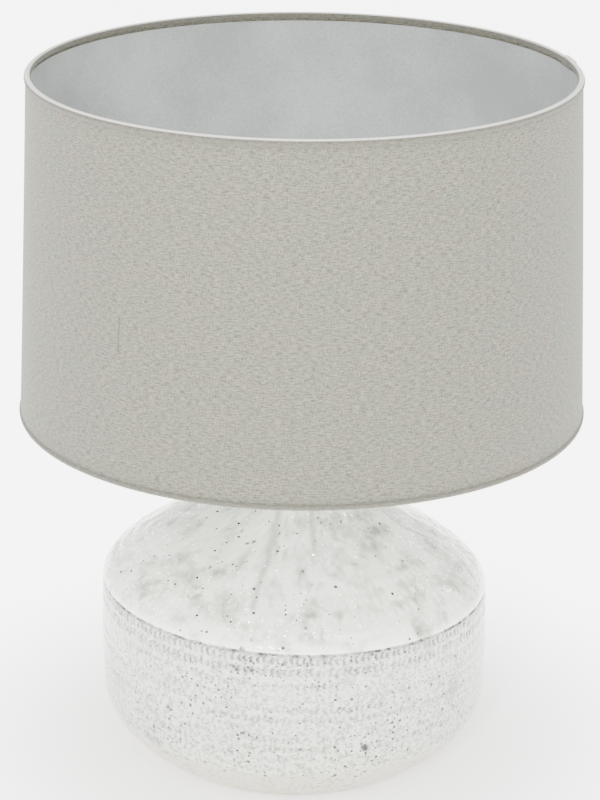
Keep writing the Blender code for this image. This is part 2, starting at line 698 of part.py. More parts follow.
def add_shade_cover(parent):
    """The cloth panel with both edges rolled round the wires."""
    top = rolled_edge((SHADE_TOP_RADIUS - BEAD_RADIUS, SHADE_TOP_Z), TOP_WRAP, 1)
    bottom = rolled_edge((SHADE_BOTTOM_RADIUS - BEAD_RADIUS, SHADE_BOTTOM_Z), BOTTOM_WRAP, -1)
    outline = top + bottom[::-1]
    piece("shade_cover", turned(outline, LARGE_SEGMENTS), linen(), parent)


def add_shade_liner(parent):
    """The smooth sheet behind the cloth, between the two rolled edges."""
    low = SHADE_BOTTOM_Z + LINER_BOTTOM_MARGIN
    high = SHADE_TOP_Z - LINER_TOP_MARGIN
    depth = BEAD_PROUD + PANEL_THICKNESS + GAP
    outline = []
    for height, inset in ((low, 0.0), (high, 0.0), (high, LINER_THICKNESS), (low, LINER_THICKNESS)):
        outline.append((shade_radius(height) - depth - inset, height))
    piece("shade_liner", turned(outline, LARGE_SEGMENTS), lining(), parent)


def add_wire_ring(name, radius, height, parent):
    outline = arc((radius, height), WIRE_RADIUS, 0, 360, WIRE_SEGMENTS)[:-1]
    piece(name, turned(outline, LARGE_SEGMENTS), white_wire(), parent)


def add_fitter_ring(parent):
    outline = tube_outline(FITTER_BORE, FITTER_RADIUS, FITTER_BOTTOM,
                           FITTER_BOTTOM + FITTER_THICKNESS)
    piece("fitter_ring", turned(outline), white_wire(), parent)


def spoke_line():
    """A spoke's centre line in the (radius, height) plane, from the bottom wire inwards."""
    lift = math.radians(SPOKE_LIFT_ANGLE)
    way = Vector((math.cos(lift), math.sin(lift)))
    wire = Vector((SHADE_BOTTOM_RADIUS - BEAD_RADIUS, SHADE_BOTTOM_Z))
    start = wire + way * (WIRE_RADIUS + GAP)
    bend = wire + way * SPOKE_STEM
    end = Vector((FITTER_RADIUS + GAP, FITTER_Z))
    inwards = (end - bend).normalized()
    after = bend + inwards * SPOKE_STEM
    points = [start]
    steps = 4
    for index in range(steps + 1):
        t = index / steps
        from_bend = bend - way * (SPOKE_STEM * 0.5)
        points.append(from_bend * (1 - t) ** 2 + bend * (2 * t * (1 - t)) + after * t * t)
    points.append(end)
    return points


def add_spokes(parent):
    line = spoke_line()
    for number in range(SPOKE_COUNT):
        name = f"spoke_{number + 1}"
        curve = bpy.data.curves.new(name, "CURVE")
        curve.dimensions = "3D"
        curve.bevel_depth = WIRE_RADIUS
        curve.bevel_resolution = 1
        curve.use_fill_caps = True
        spline = curve.splines.new("POLY")
        spline.points.add(len(line) - 1)
        for point, place in zip(spline.points, line):
            point.co = (place.x, 0.0, place.y, 1.0)
        curve.materials.append(white_wire())
        spoke = bpy.data.objects.new(name, curve)
        bpy.context.collection.objects.link(spoke)
        spoke.rotation_euler.z = math.radians(FIRST_SPOKE + 360 / SPOKE_COUNT * number)
        spoke.parent = parent


# ---------------------------------------------------------------- the lamp

def build():
    clear_scene()
    base = empty("lamp_base")
    add_foot_felt(base)
    add_ceramic_body(base)
    add_cable_grommet(base)
    add_neck_seal(base)
    add_neck_cap(base)
    add_neck_hardware(base)
    add_holder_base(base)
    add_holder_shell(base)
    add_holder_insert(base)
    add_screw_shell(base)
    add_contact_spring(base)
    add_terminals(base)

    switch = empty("switch_axis", (0, 0, BAR_Z), base)
    add_switch_bar(switch)

    seat = empty("shade_seat", parent=base)
    piece("lower_shade_ring", turned(ring_outline(LOWER_RING_TOP, -1)), white_plastic(), seat)
    clamp = empty("shade_clamp", parent=base)
    piece("upper_shade_ring", turned(ring_outline(UPPER_RING_BOTTOM, 1)), white_plastic(), clamp)

    bulb = empty("bulb", parent=base)
    add_bulb(bulb)

    shade = empty("shade", parent=seat)
    add_shade_cover(shade)
    add_shade_liner(shade)
    add_wire_ring("top_wire_ring", SHADE_TOP_RADIUS - BEAD_RADIUS, SHADE_TOP_Z, shade)
    add_wire_ring("bottom_wire_ring", SHADE_BOTTOM_RADIUS - BEAD_RADIUS, SHADE_BOTTOM_Z, shade)
    add_fitter_ring(shade)
    add_spokes(shade)


build()
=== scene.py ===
"""Table lamp with a hand-thrown glazed base and a linen drum shade: the finished look.

Every piece is a surface worked out from the lamp's own sizes, in metres, with +Z up and the
origin on the lamp's axis on the table top. The front of the lamp looks towards -Y.
"""

import math
from collections import namedtuple

import bpy
import numpy as np
from mathutils import Matrix, Vector


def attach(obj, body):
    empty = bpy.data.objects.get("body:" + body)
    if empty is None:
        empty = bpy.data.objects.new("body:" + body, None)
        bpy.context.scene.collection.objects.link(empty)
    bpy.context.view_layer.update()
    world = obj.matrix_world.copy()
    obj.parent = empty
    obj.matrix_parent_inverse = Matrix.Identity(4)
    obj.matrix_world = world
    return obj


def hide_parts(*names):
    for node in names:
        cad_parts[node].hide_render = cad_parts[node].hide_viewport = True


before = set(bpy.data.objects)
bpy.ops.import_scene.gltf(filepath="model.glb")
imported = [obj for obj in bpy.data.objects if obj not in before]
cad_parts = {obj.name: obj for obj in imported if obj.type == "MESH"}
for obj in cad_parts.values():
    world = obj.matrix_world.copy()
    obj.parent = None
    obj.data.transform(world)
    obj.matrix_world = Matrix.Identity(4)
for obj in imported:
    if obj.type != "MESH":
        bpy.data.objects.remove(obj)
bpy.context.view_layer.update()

bl_info = {
    "name": "Ceramic table lamp with linen shade",
    "version": (1, 0, 0),
    "blender": (4, 5, 0),
    "location": "View3D > Sidebar > Lamp",
    "description": "Builds a glazed ceramic table lamp with a linen drum shade, piece by piece",
    "category": "Add Mesh",
}

# ---------------------------------------------------------------- sizes of the lamp, in metres

GAP = 0.0003        # between two pieces that fit together
TINY = 1e-9         # what counts as nothing

# Ceramic body
BODY_BOTTOM = 0.0023
NECK_TOP = 0.2263
BODY_RADIUS = 0.1398
BARREL = 0.0008
WALL_RADIUS = BODY_RADIUS - BARREL
BODY_WALL = 0.006
FOOT_RADIUS = 0.098
FOOT_INNER_RADIUS = 0.080
FOOT_RECESS = 0.004
BELLY_TOP = 0.0523
CREASE_Z = 0.1305
CREASE_DEPTH = 0.0012
CREASE_HALF = 0.0013
NECK_RADIUS = 0.027
SHOULDER_CURVE = np.array([(1.0, 0.0), (0.985, 0.085), (0.86, 0.19), (0.70, 0.325),
                           (0.47, 0.52), (0.02, 0.66), (0.0, 1.0)])
BODY_SHIFT = -0.0042
BODY_LEAN = 0.0038
LEAN_RISE = 0.090
STRAIGHT_RADIUS = 0.040
LEANING_RADIUS = 0.100
BAND_BOTTOM = 0.0868        # where the stamped band's shell meets the lower one
OUTLET_Z = 0.050
OUTLET_RADIUS = 0.0053
BUSH_RADIUS = 0.005
BUSH_BORE = 0.0035
PAD_RADIUS = 0.0935
PAD_THICKNESS = 0.002

# Neck fitting and lampholder, from the neck upwards
SEAL_BOTTOM = 0.2266
CAP_BOTTOM = 0.2286
CAP_TOP = 0.2366
CAP_WALL = 0.0015
SPIGOT_RADIUS = 0.0203
NIPPLE_RADIUS = 0.005
NIPPLE_BORE = 0.0035
NIPPLE_BOTTOM = 0.2255
NIPPLE_TOP = 0.2472
HOLE_RADIUS = 0.0053        # of the holes that the nipple passes through
NUT_ACROSS_FLATS = 0.017
NUT_HEIGHT = 0.004
HOLDER_BOTTOM = 0.2412
HOLDER_BASE_TOP = 0.2622
HOLDER_BOSS_RADIUS = 0.0085
GRIP_RADIUS = 0.021
SHELL_BOTTOM = 0.2625
SHELL_TOP = 0.2985
SKIRT_RADIUS = 0.0197
SKIRT_BORE = 0.0180
INSERT_RADIUS = 0.0176
INSERT_BORE = 0.0150
INSERT_FLOOR_TOP = 0.2683
SCREW_SHELL_RADIUS = 0.0147
BAR_Z = 0.2570
BAR_X = -0.003
BAR_RADIUS = 0.0025
BAR_BORE = 0.0029
KNOB_RADIUS = 0.0038

# Shade rings and wire frame
LOWER_RING_TOP = 0.2867
UPPER_RING_BOTTOM = 0.2893
RING_BORE = 0.0200
RING_FLANGE_RADIUS = 0.0285
RING_COLLAR_RADIUS = 0.0238
FITTER_Z = 0.2880
FITTER_RADIUS = 0.030
WIRE_RADIUS = 0.0014
BEAD_RADIUS = 0.0025
BEAD_PROUD = 0.001
SHADE_TOP_RADIUS = 0.1906
SHADE_BOTTOM_RADIUS = 0.200
SHADE_BOTTOM_Z = 0.264
SHADE_TOP_Z = 0.5025
MEAN_RADIUS = 0.195         # at which lengths round the shade are measured for its weave
PANEL_THICKNESS = 0.001
TOP_WRAP = 225.0
BOTTOM_WRAP = 185.0
SEAM_ANGLE = math.radians(12.0)     # from +X round towards the back

# Bulb
BULB_CAP_BOTTOM = 0.2776
HOUSING_BOTTOM = 0.2989
HOUSING_TOP = 0.3381
THREAD_PITCH = 0.0036
BULB_CAP_RADIUS = 0.0131
GLOBE_RADIUS = 0.0305
GLOBE_RISE = 0.034
GLOBE_WALL = 0.0012
GLOBE_CUT = math.radians(20.0)      # how far below its middle the globe is cut off

# Stage
FLOOR_REACH = 40.0          # far enough for its edge to reach the horizon
CAMERA_PLACE = (-0.0012, -1.818, 0.929)
CAMERA_DOWN = math.radians(20.06)
CAMERA_ROLL = math.radians(0.46)


# ---------------------------------------------------------------- colours and settings

def linear(hex_colour):
    """An sRGB hex colour as the linear red, green and blue that a shader takes.

    Each channel c becomes c / 12.92 up to 0.04045, and ((c + 0.055) / 1.055) ** 2.4 above it.
    """
    c = np.array([int(hex_colour[i:i + 2], 16) for i in (0, 2, 4)]) / 255
    return tuple(float(x) for x in np.where(c <= 0.04045, c / 12.92, ((c + 0.055) / 1.055) ** 2.4))


def length(name, description, default):
    """A setting in metres."""
    return bpy.props.FloatProperty(name=name, description=description, default=default,
                                   subtype="DISTANCE", unit="LENGTH", precision=5)


def colour(name, description, hex_colour):
    """A colour setting, written as an sRGB hex colour and kept as a linear one."""
    return bpy.props.FloatVectorProperty(name=name, description=description, subtype="COLOR",
                                         size=3, min=0.0, max=1.0, default=linear(hex_colour))


class LampSizes(bpy.types.PropertyGroup):
    """Depths and pitches of the hand-made surface detail."""

    dimple_depth: length("Dimple depth", "Depth of the soft dimples on the shoulder", 0.00050)
    stamp_pitch: length("Stamp pitch", "Distance between two stamped marks round the body", 0.0046)
    stamp_depth: length("Stamp depth", "Depth of the stamped marks", 0.00060)
    rib_pitch: length("Rib pitch", "Distance between two turning ribs on the wall", 0.0023)
    rib_depth: length("Rib depth", "Depth of the turning ribs", 0.00014)
    lap: length("Seam lap", "How far the shade's cloth overlaps itself at the seam", 0.014)
    thread_width: length("Thread width", "Width of a thread as the weave shows it", 0.00085)
    slub_length: length("Slub length", "Length of the thick places in the cross threads", 0.0045)


class LampColours(bpy.types.PropertyGroup):
    """Colours of the finishes."""

    glaze: colour("Glaze", "Tin-white glaze", "F3F5E7")
    clay: colour("Clay", "Bare or thinly glazed clay at the foot", "BDB59C")
    # The iron colour also draws the dark line along the crease
    iron: colour("Iron", "Iron specks and the dirt in the grooves", "262320")
    linen: colour("Linen", "Undyed linen yarn", "737466")
    # The pale linen colour is a painted highlight on the crown of the top bead
    linen_pale: colour("Pale linen", "Bleached yarn on the rolled edges", "DEDCD3")
    # Also the colour of the painted shade on the rolled edges and between the threads
    linen_dark: colour("Dark linen", "Dark fibres in the yarn", "403E37")
    lining: colour("Lining", "Laminated lining film", "949896")
    plastic: colour("Plastic", "Moulded white plastic", "E4E4DF")
    felt: colour("Felt", "Pressed wool felt", "6E716B")
    floor: colour("Floor", "Stage floor", "F6F6F4")


# ---------------------------------------------------------------- surfaces

Surface = namedtuple("Surface", "points across along uv marks capped",
                     defaults=(True, False, None, None, False))
Surface.__doc__ = """A grid of points, rows by columns. It closes on itself across the columns or
along the rows, and has UVs for rows and columns with the closing ones repeated, named marks for
each point, and flat ends where an open strip is capped."""


def corners_of(surface):
    """The faces of a grid as corner numbers, with how many each face has and their UVs.

    Face (r, c) joins points (r, c), (r, c+1), (r+1, c+1) and (r+1, c). Where a first or last row
    has shrunk to one point, that row is one vertex and its faces are triangles.
    """
    rows, columns = surface.points.shape[:2]
    index = np.arange(rows * columns).reshape(rows, columns)
    for end in (0, -1):
        if np.ptp(surface.points[end], axis=0).max() < TINY:
            index[end] = index[end, 0]
    r = np.arange(rows if surface.along else rows - 1)[:, None]
    c = np.arange(columns if surface.across else columns - 1)[None, :]
    below, beside = (r + 1) % rows, (c + 1) % columns
    numbers = np.stack(np.broadcast_arrays(index[r, c], index[r, beside], index[below, beside],
                                           index[below, c]), axis=-1).reshape(-1, 4)
    kept = numbers != np.roll(numbers, 1, axis=1)
    totals = kept.sum(axis=1)
    uv = np.zeros((*numbers.shape, 2))
    if surface.uv is not None:
        uv = np.stack([surface.uv[r, c], surface.uv[r, c + 1], surface.uv[r + 1, c + 1],
                       surface.uv[r + 1, c]], axis=2).reshape(-1, 4, 2)
    numbers, uv = numbers[kept], uv[kept]
    if surface.capped:
        ends = (index[:, 0], index[::-1, -1])
        numbers = np.concatenate([numbers, *ends])
        totals = np.concatenate([totals, [rows, rows]])
        edge = np.zeros((2 * rows, 2))
        if surface.uv is not None:
            edge = np.concatenate([surface.uv[:rows, 0], surface.uv[:rows, -1][::-1]])
        uv = np.concatenate([uv, edge])
    return numbers, totals, uv


def mesh_of(name, surface, finish=None, sharp=40.0):
    """A mesh from a grid; edges bent more than sharp degrees stay crisp."""
    numbers, totals, uv = corners_of(surface)
    used, numbers = np.unique(numbers, return_inverse=True)
    places = surface.points.reshape(-1, 3)[used]
    mesh = bpy.data.meshes.new(name)
    mesh.vertices.add(len(used))
    mesh.vertices.foreach_set("co", places.astype(np.float32).ravel())
    mesh.loops.add(len(numbers))
    mesh.loops.foreach_set("vertex_index", numbers.astype(np.int32))
    mesh.polygons.add(len(totals))
    mesh.polygons.foreach_set("loop_start", (np.cumsum(totals) - totals).astype(np.int32))
    if surface.uv is not None:
        layer = mesh.uv_layers.new(name="length")
        layer.uv.foreach_set("vector", uv.astype(np.float32).ravel())
    for mark, values in sorted((surface.marks or {}).items()):
        attribute = mesh.attributes.new(mark, "FLOAT", "POINT")
        attribute.data.foreach_set("value", values.ravel()[used].astype(np.float32))
    mesh.update(calc_edges=True)
    mesh.validate()
    mesh.shade_smooth()
    mesh.set_sharp_from_angle(angle=math.radians(sharp))
    if finish:
        mesh.materials.append(finish)
    return mesh


def piece(name, surface, maker, body, node, sharp=40.0):
    """A finished object that rides on a body and stands for a CAD node."""
    made = bpy.data.objects.new(name, mesh_of(name, surface, finish_of(maker), sharp))
    bpy.context.scene.collection.objects.link(made)
    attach(made, body)
    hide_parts(node)
    return made


def turns(count):
    """The angles of count columns, evenly round the axis."""
    return np.arange(count) * math.tau / count


def round_axis(radius, angle, height):
    """Points (r cos a, r sin a, z), on a grid as large as the three together."""
    return np.stack(np.broadcast_arrays(radius * np.cos(angle), radius * np.sin(angle), height),
                    axis=-1)


def directions(path):
    """The unit direction of a path at each of its points."""
    way = np.gradient(path, axis=0)
    return way / np.linalg.norm(way, axis=1, keepdims=True)


def lengths_along(path):
    """How far along a path each of its points lies."""
    return np.concatenate([[0], np.cumsum(np.linalg.norm(np.diff(path, axis=0), axis=1))])


def turned(outline, segments=96, relief=None):
    """A surface of revolution: point (r, z) of the outline goes to (r cos a, r sin a, z).

    The outline runs up on its outside. If it ends on the axis at both ends it closes there, and
    otherwise it is a closed loop. relief(r, z, a) gives how far each point moves outwards.
    """
    outline = np.asarray(outline, dtype=float)
    angle = turns(segments)
    radius = np.repeat(outline[:, :1], segments, axis=1)
    height = np.repeat(outline[:, 1:], segments, axis=1)
    if relief is not None:
        radius = radius + relief(radius, height, angle[None, :])
    closed = outline[0, 0] > TINY or outline[-1, 0] > TINY
    return Surface(round_axis(radius, angle, height), along=closed)


def only_outside(radius, relief):
    """A relief that acts only on points farther out than radius."""
    return lambda r, z, a: np.where(r > radius, relief(r, z, a), 0.0)


def eased(outline, radius=0.0004, steps=3):
    """The closed outline with its corners rounded.

    A corner p between a and b, each at most radius away on its sides, becomes the curve
    a (1-t)^2 + 2 p t (1-t) + b t^2. Joints bent less than 20 degrees and points on the axis stay.
    """
    p = np.asarray(outline, dtype=float)
    before, after = np.roll(p, 1, axis=0) - p, np.roll(p, -1, axis=0) - p
    reach_before = np.linalg.norm(before, axis=1, keepdims=True) + 1e-12
    reach_after = np.linalg.norm(after, axis=1, keepdims=True) + 1e-12
    a = p + before / reach_before * np.minimum(radius, 0.45 * reach_before)
    b = p + after / reach_after * np.minimum(radius, 0.45 * reach_after)
    bend = np.sum(before / reach_before * after / reach_after, axis=1)
    soft = (bend > -math.cos(math.radians(20))) & (p[:, 0] > TINY)
    t = np.linspace(0, 1, steps + 1)[None, :, None]
    curve = a[:, None] * (1 - t) ** 2 + 2 * p[:, None] * t * (1 - t) + b[:, None] * t * t
    curve = np.where(soft[:, None, None], curve, p[:, None])
    kept = np.ones(curve.shape[:2], dtype=bool)
    kept[~soft, 1:] = False
    return curve[kept]


def bezier(controls, steps):
    """steps + 1 points on a cubic curve: the sum of its four controls times
    (1-t)^3, 3 t (1-t)^2, 3 t^2 (1-t) and t^3."""
    t = np.linspace(0, 1, steps + 1)[:, None]
    weights = np.hstack([(1 - t) ** 3, 3 * t * (1 - t) ** 2, 3 * t * t * (1 - t), t ** 3])
    return weights @ np.asarray(controls, dtype=float)


def arc(centre, radius, start, end, steps):
    """Points on an arc in the (radius, height) plane, angles in degrees."""
    angle = np.radians(np.linspace(start, end, steps + 1))
    return np.column_stack([centre[0] + radius * np.cos(angle), centre[1] + radius * np.sin(angle)])


def tube_outline(bore, radius, bottom, top):
    """A ring's outline: up its outside from the bore and back to it."""
    return [(bore, bottom), (radius, bottom), (radius, top), (bore, top)]


def smooth_step(value):
    """0 below 0, 1 above 1, and t t (3 - 2 t) between."""
    t = np.clip(value, 0.0, 1.0)
    return t * t * (3 - 2 * t)


def swell(u, v, around, seed):
    """Smooth random waves from -1 to 1 at (u, v), repeating after every `around` cells of u.

    Each cell corner has a random value, and a point takes the mix of its cell's four corners,
    weighted by t t (3 - 2 t) across and up the cell.
    """
    v = np.asarray(v, dtype=float) - np.floor(np.min(v))
    deep = int(np.ceil(np.max(v))) + 2
    knots = np.random.default_rng(seed).uniform(-1, 1, (deep, around))
    column, row = np.floor(u).astype(int), np.floor(v).astype(int)
    across, up = smooth_step(u - column), smooth_step(v - row)
    near, far = column % around, (column + 1) % around
    low = knots[row, near] * (1 - across) + knots[row, far] * across
    high = knots[row + 1, near] * (1 - across) + knots[row + 1, far] * across
    return low * (1 - up) + high * up


def swept(path, radius, segments, side):
    """A round tube: circle points path + radius (n cos a + b sin a), closed to a point each end.

    b is the given side made square to the path's direction, and n is square to both.
    """
    way = directions(path)
    b = np.asarray(side) - way * (way @ np.asarray(side))[:, None]
    b /= np.linalg.norm(b, axis=1, keepdims=True)
    n = np.cross(b, way)
    angle = turns(segments)[None, :, None]
    ring = path[:, None] + radius * (n[:, None] * np.cos(angle) + b[:, None] * np.sin(angle))
    ends = [np.repeat(path[end][None, None], segments, axis=1) for end in (0, -1)]
    return Surface(np.concatenate([ends[0], ring, ends[1]]))


def block(centre, size, radius):
    """A block with rounded edges, from rounded rectangles stacked along Z.

    A ring's half sides shrink by radius (1 - cos a) while its height moves by radius sin a.
    """
    half = np.asarray(size, dtype=float) / 2
    lift = np.radians(np.linspace(-90, 0, 4))
    inset = np.concatenate([radius * (1 - np.cos(lift)), radius * (1 - np.cos(lift[::-1]))])
    height = np.concatenate([-half[2] + radius + radius * np.sin(lift),
                             half[2] - radius - radius * np.sin(lift[::-1])])
    turn = np.radians(np.arange(0, 360, 15) + 7.5)
    corner = np.stack([np.sign(np.cos(turn)), np.sign(np.sin(turn))], axis=1)
    ring = corner * (half[:2] - radius) + radius * np.stack([np.cos(turn), np.sin(turn)], axis=1)
    points = np.zeros((len(inset) + 2, len(turn), 3))
    points[1:-1, :, :2] = ring * (1 - inset[:, None, None] / half[:2].max())
    points[1:-1, :, 2] = height[:, None]
    points[0, :, 2], points[-1, :, 2] = -half[2], half[2]
    return Surface(points + np.asarray(centre))


# ---------------------------------------------------------------- materials

def add_node(tree, kind, inputs=None, **settings):
    """Adds one node: settings on the node, values or links on its inputs."""
    node = tree.nodes.new(kind)
    for key, value in settings.items():
        setattr(node, key, value)
    for key, value in (inputs or {}).items():
        if isinstance(value, bpy.types.NodeSocket):
            tree.links.new(value, node.inputs[key])
        else:
            node.inputs[key].default_value = value
    return node


def maths(tree, operation, *values):
    """The result of one operation on numbers or links."""
    return add_node(tree, "ShaderNodeMath", dict(enumerate(values)),
                    operation=operation).outputs[0]


def ranged(tree, value, low, high, to_low=0.0, to_high=1.0, **settings):
    """The value, carried from low and high to to_low and to_high and held there."""
    return add_node(tree, "ShaderNodeMapRange", {
        "Value": value, "From Min": low, "From Max": high, "To Min": to_low,
        "To Max": to_high}, **settings).outputs[0]


def noise(tree, place, scale, detail, roughness=0.5):
    """Cloudy noise from 0 to 1, about 1 / scale wide."""
    return add_node(tree, "ShaderNodeTexNoise", {
        "Vector": place, "Scale": scale, "Detail": detail, "Roughness": roughness}).outputs["Fac"]


def mapped(tree, place, scale, location=(0.0, 0.0, 0.0)):
    """Places scaled along each axis, then moved."""
    return add_node(tree, "ShaderNodeMapping", {
        "Vector": place, "Scale": scale, "Location": location}).outputs[0]


def blend(tree, share, first, second):
    """The first colour where share is 0, the second where it is 1."""
    first, second = (end if isinstance(end, bpy.types.NodeSocket) else (*end, 1.0)
                     for end in (first, second))
    return add_node(tree, "ShaderNodeMix", {0: share, 6: first, 7: second},
                    data_type="RGBA").outputs[2]


def bumped(tree, height, strength, distance):
    """The normal of a surface raised by height times distance."""
    return add_node(tree, "ShaderNodeBump", {
        "Height": height, "Strength": strength, "Distance": distance}).outputs[0]


def object_place(tree):
    """Places in metres on the lamp."""
    return add_node(tree, "ShaderNodeTexCoord").outputs["Object"]


def mask(tree, name):
    """One of the mesh's named marks."""
    return add_node(tree, "ShaderNodeAttribute", attribute_name=name).outputs["Fac"]


def new_material(name, **values):
    """A material with a Principled shader whose plain values are set on its own sockets."""
    made = bpy.data.materials.new(name)
    made.use_nodes = True
    shader = made.node_tree.nodes["Principled BSDF"]
    for key, value in values.items():
        socket = shader.inputs[key.replace("_", " ").title().replace("Ior", "IOR")]
        socket.default_value = (*value, 1.0) if hasattr(value, "__len__") else value
    return made, made.node_tree, shader


def finish_of(maker):
    """The material that maker returns, made once and then found by its name."""
    return bpy.data.materials.get(maker.__name__) or maker()


def tin_white_glaze():
    """Tin-white glaze, dipped and fired glossy over speckled stoneware.

    It is thick, white and mirror-smooth on the shoulder, breaks thin and grey over the stamps
    and ribs of the wall, lets iron specks through, and ends in buff clay at the foot.
    """
    colours = bpy.context.scene.lamp_colours
    made, tree, shader = new_material("tin_white_glaze", ior=1.65)
    place = object_place(tree)
    pressed = mask(tree, "pressed")

    # Clouds where the glaze is thinner: 30 mm across on the shoulder, 3 mm mottle on the wall
    clouds = noise(tree, place, 34.0, 5.0, 0.62)
    thin = ranged(tree, clouds, 0.51, 0.68, 0.0, 0.82)
    # The mottle never falls below 0.44 on the wall, so the whole wall below the crease is also
    # greyed as painted shade, darker than the shoulder
    mottle_and_wall_shade = ranged(tree, noise(tree, place, 330.0, 3.0, 0.65), 0.45, 0.62, 0.44, 0.86)
    # This mark holds real grey stains and painted shade in the shoulder's dimples
    grey = maths(tree, "MAXIMUM", mask(tree, "stain"), thin)
    grey = maths(tree, "MAXIMUM", grey, maths(tree, "MULTIPLY", mottle_and_wall_shade, pressed))
    white = blend(tree, grey, colours.glaze, [0.20 * c for c in colours.glaze])

    # Grey pools in the stamps, in patches 12 mm wide
    patchy = ranged(tree, noise(tree, place, 85.0, 2.0), 0.35, 0.60, 0.60)
    pooled = maths(tree, "MULTIPLY", mask(tree, "groove"), patchy)
    stamped_white = blend(tree, pooled, white, [0.04 * c for c in colours.glaze])

    # Iron specks, most about 1 mm wide, in patches 30 mm wide and closer together on the wall
    patches = noise(tree, place, 30.0, 2.0)
    crowd = ranged(tree, patches, 0.44, 0.64, 0.05, 0.90)
    crowd = maths(tree, "MULTIPLY", crowd, ranged(tree, pressed, 0.0, 1.0, 0.28))
    specks = mask(tree, "iron")
    for scale, widest in ((250.0, 0.34), (400.0, 0.36)):
        cells = add_node(tree, "ShaderNodeTexVoronoi", {"Vector": place, "Scale": scale})
        chance = add_node(tree, "ShaderNodeSeparateColor", {"Color": cells.outputs["Color"]})
        chosen = maths(tree, "LESS_THAN", chance.outputs["Red"], crowd)
        width = maths(tree, "MULTIPLY", chance.outputs["Blue"], widest)
        inner = maths(tree, "SUBTRACT", width, cells.outputs["Distance"])
        dot = maths(tree, "MULTIPLY", ranged(tree, inner, -0.03, 0.05), chosen)
        specks = maths(tree, "MAXIMUM", specks, dot)

    # A dark line painted along the crease, broken into dashes of 1 to 6 mm
    broken = ranged(tree, noise(tree, place, 170.0, 4.0, 0.7), 0.42, 0.60, 0.22)
    line = maths(tree, "MULTIPLY", mask(tree, "crease"), broken)
    marked = maths(tree, "MAXIMUM", specks, line)

    # Buff clay below a turned line on the foot, washed with thin glaze
    height = add_node(tree, "ShaderNodeSeparateXYZ", {"Vector": place}).outputs["Z"]
    level = maths(tree, "ADD", height, ranged(tree, clouds, 0.0, 1.0, -0.003, 0.003))
    bare = maths(tree, "MULTIPLY", ranged(tree, level, 0.0385, 0.0365),
                 ranged(tree, level, 0.009, 0.003, 0.55))
    footed = blend(tree, bare, stamped_white, colours.clay)
    tree.links.new(blend(tree, marked, footed, colours.iron), shader.inputs["Base Color"])
    tree.links.new(ranged(tree, bare, 0.0, 0.9, 0.07, 0.45), shader.inputs["Roughness"])

    # Orange peel 2 mm across, with a pit at each speck
    peel = noise(tree, place, 420.0, 2.0)
    peeled = bumped(tree, maths(tree, "SUBTRACT", peel, specks), 1.0, 0.00016)

    # Skins of burst bubbles, 1.5 mm wide and in patches. Each is flat and leans its own way, and
    # more down the slope than up, because the glaze sagged. They are half mirror, to catch light
    bubbles = add_node(tree, "ShaderNodeTexVoronoi", {"Vector": place, "Scale": 400.0})
    centre = bubbles.outputs["Position"]
    from_centre = add_node(tree, "ShaderNodeVectorMath", {0: place, 1: centre},
                           operation="SUBTRACT").outputs[0]
    ways = add_node(tree, "ShaderNodeVectorMath", {
        0: bubbles.outputs["Color"], 1: (0.9, 0.9, 1.3), 2: (-0.45, -0.45, 0.9)},
        operation="MULTIPLY_ADD").outputs[0]
    leaning = add_node(tree, "ShaderNodeVectorMath", {0: from_centre, 1: ways},
                       operation="DOT_PRODUCT").outputs["Value"]
    draw = add_node(tree, "ShaderNodeTexWhiteNoise", {"Vector": centre},
                    noise_dimensions="3D").outputs["Value"]
    burst = maths(tree, "LESS_THAN", draw, ranged(tree, patches, 0.60, 0.42, 0.06, 0.55))
    skin = ranged(tree, bubbles.outputs["Distance"], 0.36, 0.26)
    skin = maths(tree, "MULTIPLY", skin, burst)
    skin = maths(tree, "MULTIPLY", skin, maths(tree, "SUBTRACT", 1.0, bare))
    normal = add_node(tree, "ShaderNodeMix", {0: skin, 4: peeled, 5: bumped(
        tree, leaning, 1.0, 1.0)}, data_type="VECTOR").outputs[1]
    tree.links.new(normal, shader.inputs["Normal"])
    tree.links.new(maths(tree, "MULTIPLY", skin, 0.5), shader.inputs["Metallic"])
    return made


